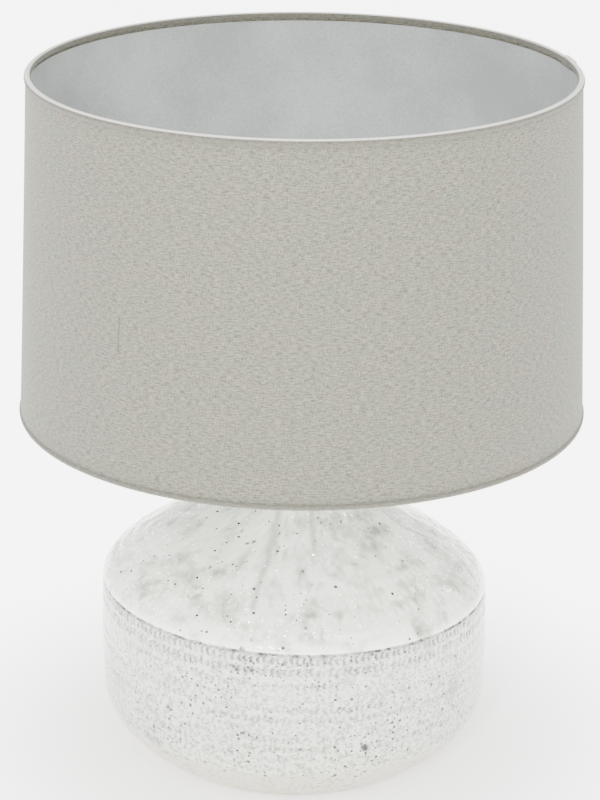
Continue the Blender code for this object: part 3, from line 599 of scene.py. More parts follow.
def natural_linen():
    """Undyed linen, plain-woven from slubbed yarn and laminated.

    Short thick and thin places run across the shade and down it, over the grain of the single
    threads, with dark fibres caught in them. The real threads are 0.4 mm apart; they are drawn
    about twice as coarse here, so that they show.
    """
    scene = bpy.context.scene
    colours, sizes = scene.lamp_colours, scene.lamp_sizes
    made, tree, shader = new_material("natural_linen", roughness=0.92, sheen_weight=0.08)
    lengths = add_node(tree, "ShaderNodeUVMap", uv_map="length").outputs["UV"]
    across, along = 1 / sizes.thread_width, 1 / sizes.slub_length

    # Threads: across the shade, down it, and the crossings between them
    threads = 0.0
    for stretch, share in (((along, across), 1.15), ((across * 1.2, along * 1.3), 0.75),
                           ((across * 1.1, across * 1.1), 0.85)):
        laid = mapped(tree, lengths, (*stretch, 1.0), (share, 2 * share, 0.0))
        height = maths(tree, "MULTIPLY", noise(tree, laid, 1.0, 3.0, 0.62), share)
        threads = maths(tree, "ADD", threads, height)
    light = ranged(tree, threads, 1.14, 1.58)

    # Warm and cool bundles of yarn, 25 mm by 12 mm
    bundles = noise(tree, mapped(tree, lengths, (40.0, 80.0, 1.0)), 1.0, 4.0, 0.6)
    warm = [c * k for c, k in zip(colours.linen, (1.09, 0.98, 0.95))]
    cool = [c * k for c, k in zip(colours.linen, (0.95, 1.01, 1.00))]
    yarn = blend(tree, ranged(tree, bundles, 0.38, 0.62), cool, warm)
    shadow = blend(tree, light, colours.linen_dark, yarn)

    # Dark fibres caught in the cross threads: 0.9 mm by 4.5 mm
    fibres = mapped(tree, lengths, (along, across * 0.9, 1.0), (3.7, 1.3, 0.0))
    dark = ranged(tree, noise(tree, fibres, 1.0, 1.0), 0.62, 0.76, 0.0, 0.9)

    # One dark thread, 0.9 mm thick and 25 mm long, lies loose down the left of the front
    x, y, z = add_node(tree, "ShaderNodeSeparateXYZ", {"Vector": object_place(tree)}).outputs
    bend = maths(tree, "MULTIPLY_ADD", z, 0.06, -0.1405)
    aside = maths(tree, "ABSOLUTE", maths(tree, "SUBTRACT", x, bend))
    stray = ranged(tree, aside, 0.0006, 0.0003, 0.0, 0.8)
    for value, low, high in ((z, 0.351, 0.354), (z, 0.379, 0.377), (y, 0.01, 0.0)):
        stray = maths(tree, "MULTIPLY", stray, ranged(tree, value, low, high))

    # Painted shade on the rolled edges away from the top bead's crown, on the bottom bead, and on
    # the panel just beside both
    edge_shade_share = maths(tree, "MULTIPLY", mask(tree, "dusty"), 0.48)
    dark = maths(tree, "MAXIMUM", maths(tree, "MAXIMUM", dark, stray), edge_shade_share)
    cloth = blend(tree, dark, shadow, colours.linen_dark)

    # A painted highlight on the crown of the top edge, with slanting ribs where the cloth is
    # wrapped over the wire
    ribs = noise(tree, mapped(tree, lengths, (520.0, 260.0, 1.0)), 1.0, 2.0)
    edge = blend(tree, ribs, [0.7 * c for c in colours.linen_pale], colours.linen_pale)
    tree.links.new(blend(tree, mask(tree, "rolled"), cloth, edge), shader.inputs["Base Color"])
    tree.links.new(bumped(tree, threads, 0.55, 0.0003), shader.inputs["Normal"])
    return made


def lining_film():
    """Laminated lining film over the cloth's back: satin, cool white, cloudy where it lifts.

    The clouds are 70 mm wide, and the weave behind shows through as a 2 mm grain.
    """
    colours = bpy.context.scene.lamp_colours
    made, tree, shader = new_material("lining_film", roughness=0.5)
    place = object_place(tree)
    clouds = noise(tree, place, 14.0, 3.0, 0.55)
    grain = noise(tree, place, 520.0, 2.0, 0.7)
    depth = ranged(tree, maths(tree, "MULTIPLY_ADD", grain, 0.7, clouds), 0.68, 1.02)
    tone = blend(tree, depth, colours.lining, [0.72 * c for c in colours.lining])
    tree.links.new(tone, shader.inputs["Base Color"])
    tree.links.new(bumped(tree, grain, 0.3, 0.0001), shader.inputs["Normal"])
    return made


def grained(name, base, roughness, metallic=0.0, grain=300.0, stretch=(1.0, 1.0, 1.0),
            contrast=0.08, bump_height=0.00005, roughness_spread=0.06, **extra):
    """A finish with an even grain: colour, roughness and bump follow one noise pattern."""
    made, tree, shader = new_material(name, metallic=metallic, **extra)
    pattern = noise(tree, mapped(tree, object_place(tree), stretch), grain, 3.0, 0.6)
    tone = blend(tree, pattern, [(1 - contrast) * c for c in base], base)
    tree.links.new(tone, shader.inputs["Base Color"])
    dull = ranged(tree, pattern, 0.0, 1.0, roughness - roughness_spread,
                  roughness + roughness_spread)
    tree.links.new(dull, shader.inputs["Roughness"])
    tree.links.new(bumped(tree, pattern, 0.4, bump_height), shader.inputs["Normal"])
    return made


def brushed_nickel():
    """Nickel plate on spun steel, brushed round the axis: fine rings that catch the light."""
    return grained("brushed_nickel", linear("D6D2C8"), 0.30, 1.0, grain=120.0,
                   stretch=(1.0, 1.0, 14.0), contrast=0.15, bump_height=0.00003)


def zinc_plated_steel():
    """Zinc plate, passivated: cool, slightly cloudy metal with 2 mm crystals."""
    return grained("zinc_plated_steel", linear("C6C9CC"), 0.34, 1.0, grain=450.0, contrast=0.22)


def drawn_brass():
    """Deep-drawn brass, left bare: warm metal with light stains from handling."""
    return grained("drawn_brass", linear("D9B46A"), 0.28, 1.0, grain=160.0, contrast=0.25)


def moulded_plastic():
    """Urea plastic, moulded with a satin skin: even white with a 1 mm grain."""
    plastic = tuple(bpy.context.scene.lamp_colours.plastic)
    return grained("moulded_plastic", plastic, 0.36, grain=900.0, contrast=0.04,
                   bump_height=0.00002)


def technical_porcelain():
    """Pressed steatite, unglazed: warm matt white with a fine bite."""
    return grained("technical_porcelain", linear("E9E4D8"), 0.55, grain=1400.0, contrast=0.07)


def enamelled_wire():
    """White stove enamel on drawn steel wire: thick satin skin, soft drips 4 mm apart."""
    return grained("enamelled_wire", linear("E2E2DD"), 0.33, grain=250.0, contrast=0.05,
                   bump_height=0.00012)


def soft_rubber():
    """Moulded natural rubber, black: matt, with a dusty bloom."""
    return grained("soft_rubber", linear("2B2B2E"), 0.72, grain=700.0, contrast=0.35)


def pressed_felt():
    """Pressed wool felt: matted grey-green fibres 1 to 2 mm long."""
    felt = tuple(bpy.context.scene.lamp_colours.felt)
    return grained("pressed_felt", felt, 0.95, grain=650.0, contrast=0.45,
                   bump_height=0.0006, roughness_spread=0.03, sheen_weight=0.3)


def opal_polycarbonate():
    """Opal polycarbonate, blow-moulded: milky, satin, softly lit through."""
    return grained("opal_polycarbonate", linear("EFEDE4"), 0.38, grain=60.0, contrast=0.03,
                   subsurface_weight=0.25, subsurface_scale=0.004)


def black_glass():
    """Black insulating glass, pressed hot: glossy with faint flow lines."""
    return grained("black_glass", linear("17171A"), 0.12, grain=80.0, contrast=0.3)


def white_board():
    """Aluminium board with a white solder mask: satin, very fine grain."""
    return grained("white_board", linear("E6E6E2"), 0.42, grain=1200.0, contrast=0.05)


def stage_floor():
    """Opal acrylic stage floor, sanded matt and lit from below, less so under the lamp."""
    floor = tuple(bpy.context.scene.lamp_colours.floor)
    made = grained("stage_floor", floor, 0.85, grain=30.0, contrast=0.01,
                   bump_height=0.00001, roughness_spread=0.02, emission_color=(1.0, 1.0, 1.0))
    tree = made.node_tree
    far = add_node(tree, "ShaderNodeVectorMath", {0: object_place(tree)},
                   operation="LENGTH").outputs["Value"]
    glow = ranged(tree, far, 0.12, 0.38, 1.2, 4.8, interpolation_type="SMOOTHSTEP")
    tree.links.new(glow, tree.nodes["Principled BSDF"].inputs["Emission Strength"])
    return made


# ---------------------------------------------------------------- ceramic body

def leaned(points):
    """The round body's points moved to where the hand-thrown body has them.

    w = step((r - 0.040) / 0.060) and h = step((z - bottom) / 0.090), with step t t (3 - 2 t);
    z falls by lean x / radius w h, and x moves by shift w.
    """
    x, y, z = np.moveaxis(points, -1, 0)
    weight = smooth_step((np.hypot(x, y) - STRAIGHT_RADIUS) / (LEANING_RADIUS - STRAIGHT_RADIUS))
    rise = smooth_step((z - BODY_BOTTOM) / LEAN_RISE)
    return np.stack([x + BODY_SHIFT * weight, y,
                     z - BODY_LEAN * x / BODY_RADIUS * weight * rise], axis=-1)


def belly(steps):
    """From the foot to the wall: r = wall - (wall - foot) (1 - t)^2 while z climbs evenly."""
    t = np.linspace(0, 1, steps + 1)
    radius = WALL_RADIUS - (WALL_RADIUS - FOOT_RADIUS) * (1 - t) ** 2
    return np.column_stack([radius, BODY_BOTTOM + (BELLY_TOP - BODY_BOTTOM) * t])


def wall(low, high, steps):
    """The wall between two heights: r = radius - barrel (1 - 4 t (1 - t)), t up the whole wall."""
    height = np.linspace(low, high, steps + 1)
    t = (height - BELLY_TOP) / (CREASE_Z - CREASE_HALF - BELLY_TOP)
    return np.column_stack([BODY_RADIUS - BARREL * (1 - 4 * t * (1 - t)), height])


def shoulder(steps):
    """Two cubic curves end to end from the crease to the neck, by fractions out and up."""
    low = CREASE_Z + CREASE_HALF
    scale = np.array([WALL_RADIUS - NECK_RADIUS, NECK_TOP - low])
    controls = np.array([NECK_RADIUS, low]) + SHOULDER_CURVE * scale
    return np.concatenate([bezier(controls[:4], steps)[:-1], bezier(controls[3:], steps)])


def evenly(outline, spacing):
    """The outline walked at even steps no longer than spacing."""
    run = lengths_along(outline)
    at = np.linspace(0, run[-1], int(np.ceil(run[-1] / spacing)) + 1)
    return np.column_stack([np.interp(at, run, outline[:, axis]) for axis in (0, 1)])


def throwing_relief(radius, height, angle):
    """How far the glaze surface stands out from the thrown shape, at each point.

    Dimples are smooth random waves 14 mm and 6 mm wide, deepest on the shoulder. Low on the
    shoulder, dabs 8 mm wide stand in rows 12 mm apart: cos^2(pi n a) cos^2(pi climb), each row
    and column at random strength. On the wall, ribs run round as sin(2 pi z / pitch), broken up
    by waves along them.
    """
    sizes = bpy.context.scene.lamp_sizes
    turn = angle / math.tau % 1.0
    on_shoulder = smooth_step((height - CREASE_Z) / 0.012)
    climb = (height + 0.6 * (BODY_RADIUS - radius)) / 0.0135
    wide = swell(turn * 62, climb, 62, 11)
    small = swell(turn * 150, climb * 2.4, 150, 12)
    dimples = sizes.dimple_depth * (0.75 * wide + 0.45 * small) * (0.22 + 0.78 * on_shoulder)
    low_shoulder = on_shoulder * smooth_step((0.176 - height) / 0.020)
    strength = 0.5 + 0.5 * swell(turn * 55, climb * 1.3, 55, 15)
    shifted = turn * 108 + 0.35 * swell(turn * 30, climb, 30, 16)
    dabs = np.cos(math.pi * shifted) ** 2 * np.cos(math.pi * climb * 1.1) ** 2
    dimples = dimples + sizes.dimple_depth * 1.5 * strength * dabs * low_shoulder
    below = smooth_step((CREASE_Z - 0.008 - height) / 0.006)
    lines = np.sin(math.tau * height / sizes.rib_pitch + 1.5 * swell(turn * 7, height * 0, 7, 13))
    broken = 0.55 + 0.45 * swell(turn * 90, height / 0.0022, 90, 14)
    return dimples + sizes.rib_depth * lines * broken * below


def stamp_row(height, angle, centre, tall, seed, strength, squiggle):
    """Depth from 0 to 1 of one row of marks pressed side by side round the body.

    Mark k stands at angle k of n. At a height y above its middle its line lies at
    x = b (2 y / tall)^2 + s sin(4 pi y / tall), so it curves like a bracket, and the depth falls
    off as exp(-(d / w)^2) with the distance d from that line. Places, leans, sizes and
    pressures vary at random from mark to mark.
    """
    sizes = bpy.context.scene.lamp_sizes
    count = int(round(math.tau * BODY_RADIUS / sizes.stamp_pitch))
    random = np.random.default_rng(seed)
    shift, lift, lean, size, press, wave = random.uniform(-1, 1, (6, count))
    turn = angle / math.tau % 1.0 * count
    number = np.round(turn).astype(int) % count
    x = (turn - np.round(turn)) * sizes.stamp_pitch - 0.00055 * shift[number]
    y = height - centre - 0.0007 * lift[number]
    full = tall * (1 + 0.14 * size[number])
    bow = 0.0016 * (2 * y / full) ** 2 + 0.12 * lean[number] * y
    bow = bow + squiggle * wave[number] * np.sin(2 * math.tau * y / full)
    line = np.exp(-((x - bow + 0.0006) / 0.00115) ** 2)
    ends = smooth_step((full / 2 - np.abs(y)) / 0.0011)
    return np.minimum(1.25 * line, 1.0) * ends * strength * (0.84 + 0.16 * press[number])


def stamped(height, angle):
    """All rows of marks: brackets under the crease, squiggles, then fainter rows down the wall."""
    rows = ((0.1260, 0.0060, 21, 1.00, 0.0002), (0.1175, 0.0068, 22, 0.90, 0.0008),
            (0.1070, 0.0056, 23, 0.78, 0.0009), (0.0978, 0.0056, 24, 0.82, 0.0009),
            (0.0890, 0.0050, 25, 0.70, 0.0008), (0.0810, 0.0050, 26, 0.76, 0.0008),
            (0.0735, 0.0050, 27, 0.66, 0.0008), (0.0662, 0.0050, 28, 0.72, 0.0008),
            (0.0590, 0.0050, 29, 0.64, 0.0008), (0.0520, 0.0048, 30, 0.60, 0.0008),
            (0.0447, 0.0048, 31, 0.52, 0.0008))
    turn = angle / math.tau % 1.0
    depth = 0.0
    for centre, tall, seed, strength, squiggle in rows:
        row = stamp_row(height, angle, centre, tall, seed, strength, squiggle)
        even = 1.0 if strength > 0.85 else 0.55 + 0.6 * swell(turn * 26, height * 0, 26, seed + 50)
        depth = np.maximum(depth, row * even)
    return depth


# Where the largest iron spots came through: angle in degrees, height, radius
IRON_SPOTS = (
    (-104.7, 0.1318, 0.0016), (-69.1, 0.0577, 0.0026), (-70.1, 0.0610, 0.0011),
    (-106.2, 0.1169, 0.0015), (-101.8, 0.1176, 0.0017), (-104.0, 0.1168, 0.0008),
    (-128.7, 0.0743, 0.0018), (-127.8, 0.0728, 0.0012), (-104.2, 0.0691, 0.0015),
    (-102.6, 0.0682, 0.0014), (-100.4, 0.0672, 0.0011), (-116.7, 0.0398, 0.0012),
    (-67.0, 0.1286, 0.0013), (-19.2, 0.1013, 0.0014), (-161.8, 0.1342, 0.0017),
    (-160.6, 0.1318, 0.0018), (-128.1, 0.1850, 0.0010), (-118.5, 0.1808, 0.0014),
    (-115.5, 0.1820, 0.0015), (-126.7, 0.1675, 0.0011), (-75.4, 0.1946, 0.0010),
    (-73.6, 0.1923, 0.0009), (-57.9, 0.1910, 0.0010), (-103.3, 0.1873, 0.0009),
    (-86.4, 0.1720, 0.0012), (-85.6, 0.1594, 0.0009), (-86.4, 0.1461, 0.0010),
    (-86.4, 0.1432, 0.0009), (-102.4, 0.1385, 0.0010), (-82.9, 0.1662, 0.0008),
    (-37.2, 0.1686, 0.0012), (-27.1, 0.1472, 0.0010), (-22.8, 0.1335, 0.0012),
    (-51.4, 0.1353, 0.0010), (-74.7, 0.0567, 0.0008), (-77.1, 0.0573, 0.0009),
    (-80.5, 0.0523, 0.0009), (-79.0, 0.0521, 0.0008), (63.0, 0.0940, 0.0016),
    (104.0, 0.0660, 0.0014), (141.0, 0.1120, 0.0013), (25.0, 0.0610, 0.0012),
)
# A hairline that the glaze healed over on the right of the shoulder: angles in degrees, heights
HAIRLINE = ((-12.1, 0.1875), (-14.8, 0.1848), (-15.2, 0.1812), (-14.6, 0.1779), (-12.9, 0.1757),
            (-10.0, 0.1721), (-8.1, 0.1685), (-7.3, 0.1654), (-6.0, 0.1610), (-6.4, 0.1560),
            (-6.8, 0.1508), (-9.3, 0.1468), (-12.0, 0.1407))
# Two runs where the glaze flowed thin from the neck: angles in degrees, heights
RUNS = (((-109.6, 0.1968), (-106.9, 0.1857), (-103.3, 0.1756), (-103.6, 0.1691),
         (-103.9, 0.1540)),
        ((-80.1, 0.1980), (-80.4, 0.1899), (-80.5, 0.1800)))


def half_turn(angle):
    """The angle brought to between -pi and pi."""
    return (angle + math.pi) % math.tau - math.pi


def nearness(across, along, path, radius, outline, run):
    """Distance in metres from every point to a broken line of (degrees, height) pairs.

    A pair lies at (angle radius, run along the outline at that height). The distance to a stretch
    from p to q is |x - p - t (q - p)| with t = (x - p).(q - p) / |q - p|^2 kept from 0 to 1.
    """
    path = np.asarray(path, dtype=float)
    y = np.interp(path[:, 1], outline[:, 1], run)
    near = np.full(np.broadcast_shapes(across.shape, along.shape), 1.0)
    angles = np.radians(path[:, 0])
    for first in range(len(path) - 1):
        x = half_turn(across - angles[first])
        span = np.array([angles[first + 1] - angles[first], y[first + 1] - y[first]])
        wide = span[0] * radius
        part = (x * radius * wide + (along - y[first]) * span[1]) / (wide ** 2 + span[1] ** 2)
        part = np.clip(part, 0, 1)
        gap = np.hypot(x * radius - part * wide, along - y[first] - part * span[1])
        near = np.minimum(near, gap)
    return near


def firing_marks(outline, run, angle):
    """Two masks over the grid: iron spots, and grey stains from the hairline and the runs."""
    radius, along = outline[:, :1], run[:, None]
    across = angle[None, :]
    turn = across / math.tau % 1.0
    iron = np.zeros((len(outline), len(angle)))
    ragged = 1 + 0.45 * swell(turn * 700, along / 0.0011, 700, 61)
    for degrees, height, size in IRON_SPOTS:
        x = half_turn(across - math.radians(degrees)) * radius
        y = along - np.interp(height, outline[:, 1], run, left=-1, right=9)
        iron = np.maximum(iron, np.clip((size * ragged - np.hypot(x, y)) / 0.0007 + 0.5, 0, 1))
    stain = 0.95 * np.exp(-(nearness(across, along, HAIRLINE, radius, outline, run) / 0.0008) ** 2)
    for path in RUNS:
        soft = np.exp(-(nearness(across, along, path, radius, outline, run) / 0.0030) ** 2)
        stain = np.maximum(stain, 0.60 * soft)
    return iron, stain


def body_shell(outer, inner, columns):
    """One closed ring of the body: the outer outline up, over, and the inner one down.

    Each outer point moves along the outline's normal by the relief less the stamps.
    """
    sizes = bpy.context.scene.lamp_sizes
    angle = turns(columns)
    way = directions(outer)
    radius, height = outer[:, :1], outer[:, 1:]
    run = lengths_along(outer)
    marks = stamped(height, angle[None, :])
    iron, stain = firing_marks(outer, run, angle)
    relief = throwing_relief(radius, height, angle[None, :])
    # Painted shade: each dimple's hollow on the shoulder is greyed by its depth, in the same mark
    # as the real stains
    hollow = np.clip(-relief / sizes.dimple_depth, 0, 1) * smooth_step((height - CREASE_Z) / 0.01)
    stain = np.maximum(stain, 0.7 * hollow)
    fade = smooth_step((height - BODY_BOTTOM) / 0.006) * smooth_step((NECK_TOP - height) / 0.006)
    moved = fade * (relief - sizes.stamp_depth * marks)
    out_radius = radius + way[:, 1:] * moved
    out_height = height - way[:, :1] * moved
    inner = np.asarray(inner)
    radius_all = np.concatenate([out_radius, np.repeat(inner[:, :1], columns, axis=1)])
    height_all = np.concatenate([out_height, np.repeat(inner[:, 1:], columns, axis=1)])
    points = round_axis(radius_all, angle, height_all)
    run = np.concatenate([run, np.full(len(inner) + 1, run[-1])])
    closing = np.linspace(0, math.tau * BODY_RADIUS, columns + 1)
    uv = np.stack(np.meshgrid(closing, run), axis=-1)
    blank = np.zeros((len(inner), columns))
    crease = np.exp(-((height - CREASE_Z + 0.0005) / 0.0015) ** 2) * np.ones((1, columns))
    pressed = smooth_step((CREASE_Z - height) / 0.001) * np.ones((1, columns))
    layers = {"groove": marks, "crease": crease, "iron": iron, "stain": stain, "pressed": pressed}
    return Surface(leaned(points), along=True, uv=uv,
                   marks={key: np.concatenate([value, blank]) for key, value in layers.items()})


def inner_wall(outline):
    """The outline moved in by the wall's thickness and run downwards."""
    way = directions(outline)
    moved = outline - np.column_stack([way[:, 1], -way[:, 0]]) * BODY_WALL
    return moved[::-1]


def ceramic_shells():
    """The shoulder, the stamped band and the lower body, each a closed shell of its own."""
    bore = NECK_RADIUS - BODY_WALL
    groove = CREASE_DEPTH
    pit = (WALL_RADIUS - groove, CREASE_Z)

    rise = evenly(shoulder(60), 0.00145)
    lip = np.array([pit, (WALL_RADIUS - 0.45 * groove, CREASE_Z + 0.35 * CREASE_HALF),
                    (WALL_RADIUS - 0.05 * groove, CREASE_Z + 0.8 * CREASE_HALF)])
    rim = np.array([(NECK_RADIUS - 0.0004, NECK_TOP - 0.00005), (NECK_RADIUS - 0.001, NECK_TOP),
                    (bore + 0.001, NECK_TOP), (bore, NECK_TOP - 0.001)])
    inside = inner_wall(shoulder(12))
    inside = inside[(inside[:, 0] > bore) & (inside[:, 1] < NECK_TOP - BODY_WALL)]
    under = np.concatenate([[(bore, NECK_TOP - 0.010)], inside,
                            [(WALL_RADIUS - BODY_WALL, CREASE_Z)]])
    upper = body_shell(np.concatenate([lip, rise[1:-1]]), np.concatenate([rim, under]), 720)

    band_outline = np.concatenate([
        wall(BAND_BOTTOM, CREASE_Z - CREASE_HALF, 62),
        [(WALL_RADIUS - 0.3 * groove, CREASE_Z - 0.6 * CREASE_HALF),
         (WALL_RADIUS - 0.7 * groove, CREASE_Z - 0.25 * CREASE_HALF), pit]])
    inner_radius = WALL_RADIUS - BODY_WALL
    band = body_shell(band_outline, [(inner_radius, CREASE_Z), (inner_radius, BAND_BOTTOM)], 1400)

    low = evenly(np.concatenate([belly(40), wall(BELLY_TOP, BAND_BOTTOM, 30)[1:]]), 0.00122)
    floor_top = BODY_BOTTOM + FOOT_RECESS + BODY_WALL
    inside = inner_wall(np.concatenate([belly(12)[1:], wall(BELLY_TOP, BAND_BOTTOM, 2)[1:]]))
    inside = inside[inside[:, 1] > floor_top + 0.002]
    recess = BODY_BOTTOM + FOOT_RECESS
    closing = np.concatenate([
        inside, [(inside[-1, 0] * 0.96, floor_top), (0.040, floor_top), (0.0, floor_top)]])
    base = np.array([(0.0, recess), (0.040, recess), (FOOT_INNER_RADIUS - 0.001, recess),
                     (FOOT_INNER_RADIUS, recess - 0.001), (FOOT_INNER_RADIUS, BODY_BOTTOM + 0.001),
                     (FOOT_INNER_RADIUS + 0.001, BODY_BOTTOM)])
    lower = body_shell(np.concatenate([[(FOOT_RADIUS - 0.0012, BODY_BOTTOM)], low]), closing, 900)
    lower = with_floor(lower, base, 900)
    return upper, band, lower


def with_floor(shell, base, columns):
    """The lower shell's grid with the underside's rows, from the middle out, put before it."""
    rows = leaned(round_axis(base[:, :1], turns(columns), base[:, 1:]))
    marks = {key: np.concatenate([np.zeros((len(base), columns)), value])
             for key, value in shell.marks.items()}
    uv = np.concatenate([np.repeat(shell.uv[:1], len(base), axis=0), shell.uv])
    return Surface(np.concatenate([rows, shell.points]), uv=uv, marks=marks)


def out_the_back(surface):
    """The surface with its axis laid through the cable outlet, its top to the rear."""
    x, y, z = np.moveaxis(surface.points, -1, 0)
    placed = np.stack([x + BODY_SHIFT, z + BODY_RADIUS, OUTLET_Z - y], axis=-1)
    return surface._replace(points=placed)


def drill(made, name, surface):
    """Takes a closed surface's space out of an object, exactly."""
    cutter = bpy.data.objects.new(name, mesh_of(name, surface))
    bpy.context.scene.collection.objects.link(cutter)
    taken = made.modifiers.new(name, "BOOLEAN")
    taken.operation = "DIFFERENCE"
    taken.solver = "EXACT"
    taken.object = cutter
    bpy.context.view_layer.update()
    graph = bpy.context.evaluated_depsgraph_get()
    cut = bpy.data.meshes.new_from_object(made.evaluated_get(graph),
                                          preserve_all_data_layers=True, depsgraph=graph)
    made.modifiers.clear()
    made.data = cut
    bpy.data.objects.remove(cutter)


class LAMP_OT_ceramic_body(bpy.types.Operator):
    """Build the glazed body: shoulder, stamped band and lower body"""

    bl_idname = "lamp.ceramic_body"
    bl_label = "Ceramic body"

    def execute(self, context):
        names = ("body_shoulder", "body_stamped_band", "body_lower")
        for name, shell in zip(names, ceramic_shells()):
            made = piece(name, shell, tin_white_glaze, "lamp_base", "ceramic_body", 55.0)
        # The outlet goes through the last of them
        bore = turned([(0.0, -0.02), (OUTLET_RADIUS, -0.02), (OUTLET_RADIUS, 0.02), (0.0, 0.02)],
                      48)
        drill(made, "outlet_drill", out_the_back(bore))
        return {"FINISHED"}


class LAMP_OT_foot_and_outlet(bpy.types.Operator):
    """Build the felt pad under the foot and the rubber bush in the cable outlet"""

    bl_idname = "lamp.foot_and_outlet"
    bl_label = "Felt and outlet bush"

    def execute(self, context):
        outline = eased([(0.0, 0.0), (PAD_RADIUS, 0.0), (PAD_RADIUS, PAD_THICKNESS),
                         (0.0, PAD_THICKNESS)], 0.0006)
        pad = turned(outline, 240, only_outside(PAD_RADIUS - 0.0035, lambda r, z, a: (
            0.0003 * swell(a / math.tau % 1.0 * 150, z / 0.001, 150, 31))))
        pad = pad._replace(points=pad.points + np.array([BODY_SHIFT, 0.0, 0.0]))
        piece("felt_pad", pad, pressed_felt, "lamp_base", "foot_felt")

        outside = BUSH_RADIUS + 0.003
        outline = eased([(BUSH_BORE, -0.007), (BUSH_RADIUS, -0.007), (BUSH_RADIUS, GAP),
                         (outside, GAP), (outside, GAP + 0.002), (BUSH_BORE, GAP + 0.002)],
                        0.0006, 4)
        piece("outlet_bush", out_the_back(turned(outline, 64)), soft_rubber, "lamp_base",
              "cable_grommet")
        return {"FINISHED"}


# ---------------------------------------------------------------- neck fitting

def thread(pitch, depth, low, high):
    """The relief of a screw thread: -depth (1 - cos(2 pi (z / pitch - a / 2 pi))) / 2."""
    def relief(radius, height, angle):
        phase = height / pitch - angle / math.tau
        held = smooth_step((height - low) / pitch) * smooth_step((high - height) / pitch)
        return -depth * held * (1 - np.cos(math.tau * phase)) / 2
    return relief


def fine_tube(bore, radius, bottom, top, spacing):
    """A tube's outline with points every spacing up both sides, for a thread in either."""
    rise = np.linspace(bottom, top, max(2, int((top - bottom) / spacing)))
    out = np.column_stack([np.full(len(rise), radius), rise])
    back = np.column_stack([np.full(len(rise), bore), rise[::-1]])
    return np.concatenate([out, back])


def hex_nut(bottom):
    """A hexagon nut: r = half flats / cos(a from the flat), cut back to the chamfer's cone."""
    columns = 144
    angle = turns(columns)
    flat = (angle + math.pi / 6) % (math.pi / 3) - math.pi / 6
    side = NUT_ACROSS_FLATS / 2 / np.cos(flat)
    rise = np.array([0.0, 0.0003, 0.0006, 0.0010, 0.0020, 0.0030, 0.0034, 0.0037, 0.0040])
    cone = NUT_ACROSS_FLATS / 2 - 0.0002 + 1.8 * np.minimum(rise, NUT_HEIGHT - rise)
    outer = np.minimum(side[None, :], cone[:, None])
    bore = np.array([NIPPLE_RADIUS + 0.0008, NIPPLE_RADIUS + GAP, NIPPLE_RADIUS + GAP,
                     NIPPLE_RADIUS + 0.0008])
    inner = np.repeat(bore[:, None], columns, axis=1)
    height = np.concatenate([rise, [NUT_HEIGHT, NUT_HEIGHT - 0.0005, 0.0005, 0.0]])[:, None]
    radius = np.concatenate([outer, inner])
    return Surface(round_axis(radius, angle, height + bottom), along=True)


class LAMP_OT_neck_fitting(bpy.types.Operator):
    """Build the seal, cap, threaded tube, washers and nuts on the neck"""

    bl_idname = "lamp.neck_fitting"
    bl_label = "Neck fitting"

    def execute(self, context):
        seal = tube_outline(NECK_RADIUS - BODY_WALL + GAP, NECK_RADIUS, SEAL_BOTTOM,
                            CAP_BOTTOM - GAP)
        piece("neck_seal_ring", turned(eased(seal, 0.0005), 120), soft_rubber, "lamp_base",
              "neck_seal")

        rim = NECK_RADIUS + 0.0015
        rim_top = CAP_BOTTOM + CAP_WALL
        dome = bezier([(rim, rim_top), (rim, CAP_TOP - CAP_WALL), (rim * 0.8, CAP_TOP),
                       (0.014, CAP_TOP)], 18)
        under = CAP_TOP - CAP_WALL
        inner, spigot = SPIGOT_RADIUS - CAP_WALL, CAP_BOTTOM - 0.0056
        outline = np.concatenate([
            [(rim, CAP_BOTTOM)], dome, [(HOLE_RADIUS, CAP_TOP), (HOLE_RADIUS, under),
             (0.014, under), (inner, rim_top), (inner, spigot), (SPIGOT_RADIUS, spigot),
             (SPIGOT_RADIUS, CAP_BOTTOM)]])
        piece("neck_cap_spun", turned(eased(outline, 0.0003), 144), brushed_nickel, "lamp_base",
              "neck_cap")

        tube = turned(fine_tube(NIPPLE_BORE, NIPPLE_RADIUS, NIPPLE_BOTTOM, NIPPLE_TOP, 0.0002),
                      48, only_outside(0.0045, thread(0.001, 0.0004, NIPPLE_BOTTOM, NIPPLE_TOP)))
        washer = turned(eased(tube_outline(HOLE_RADIUS, 0.012, 0.2333, 0.2348), 0.0002), 96)
        lock = turned(eased(tube_outline(HOLE_RADIUS, 0.0092, 0.2315, 0.2330), 0.0002), 96,
                      only_outside(0.008, lambda r, z, a: 0.0002 * np.cos(18 * a)))
        for name, node, surface in (("threaded_tube", "threaded_nipple", tube),
                                    ("flat_washer", "clamp_washer", washer),
                                    ("toothed_washer", "lock_washer", lock),
                                    ("nut_inside_cap", "inner_nut", hex_nut(0.2272)),
                                    ("nut_on_cap", "neck_nut", hex_nut(0.2369))):
            piece(name, surface, zinc_plated_steel, "lamp_base", node, 30.0)
        return {"FINISHED"}


# ---------------------------------------------------------------- lampholder

def ribbed(low, high, count, depth):
    """The relief of a knurled grip: -depth (1 + cos(count a)) / 2 between two heights."""
    def relief(radius, height, angle):
        held = smooth_step((height - low) / 0.0005) * smooth_step((high - height) / 0.0005)
        return -depth * held * (1 + np.cos(count * angle)) / 2
    return relief


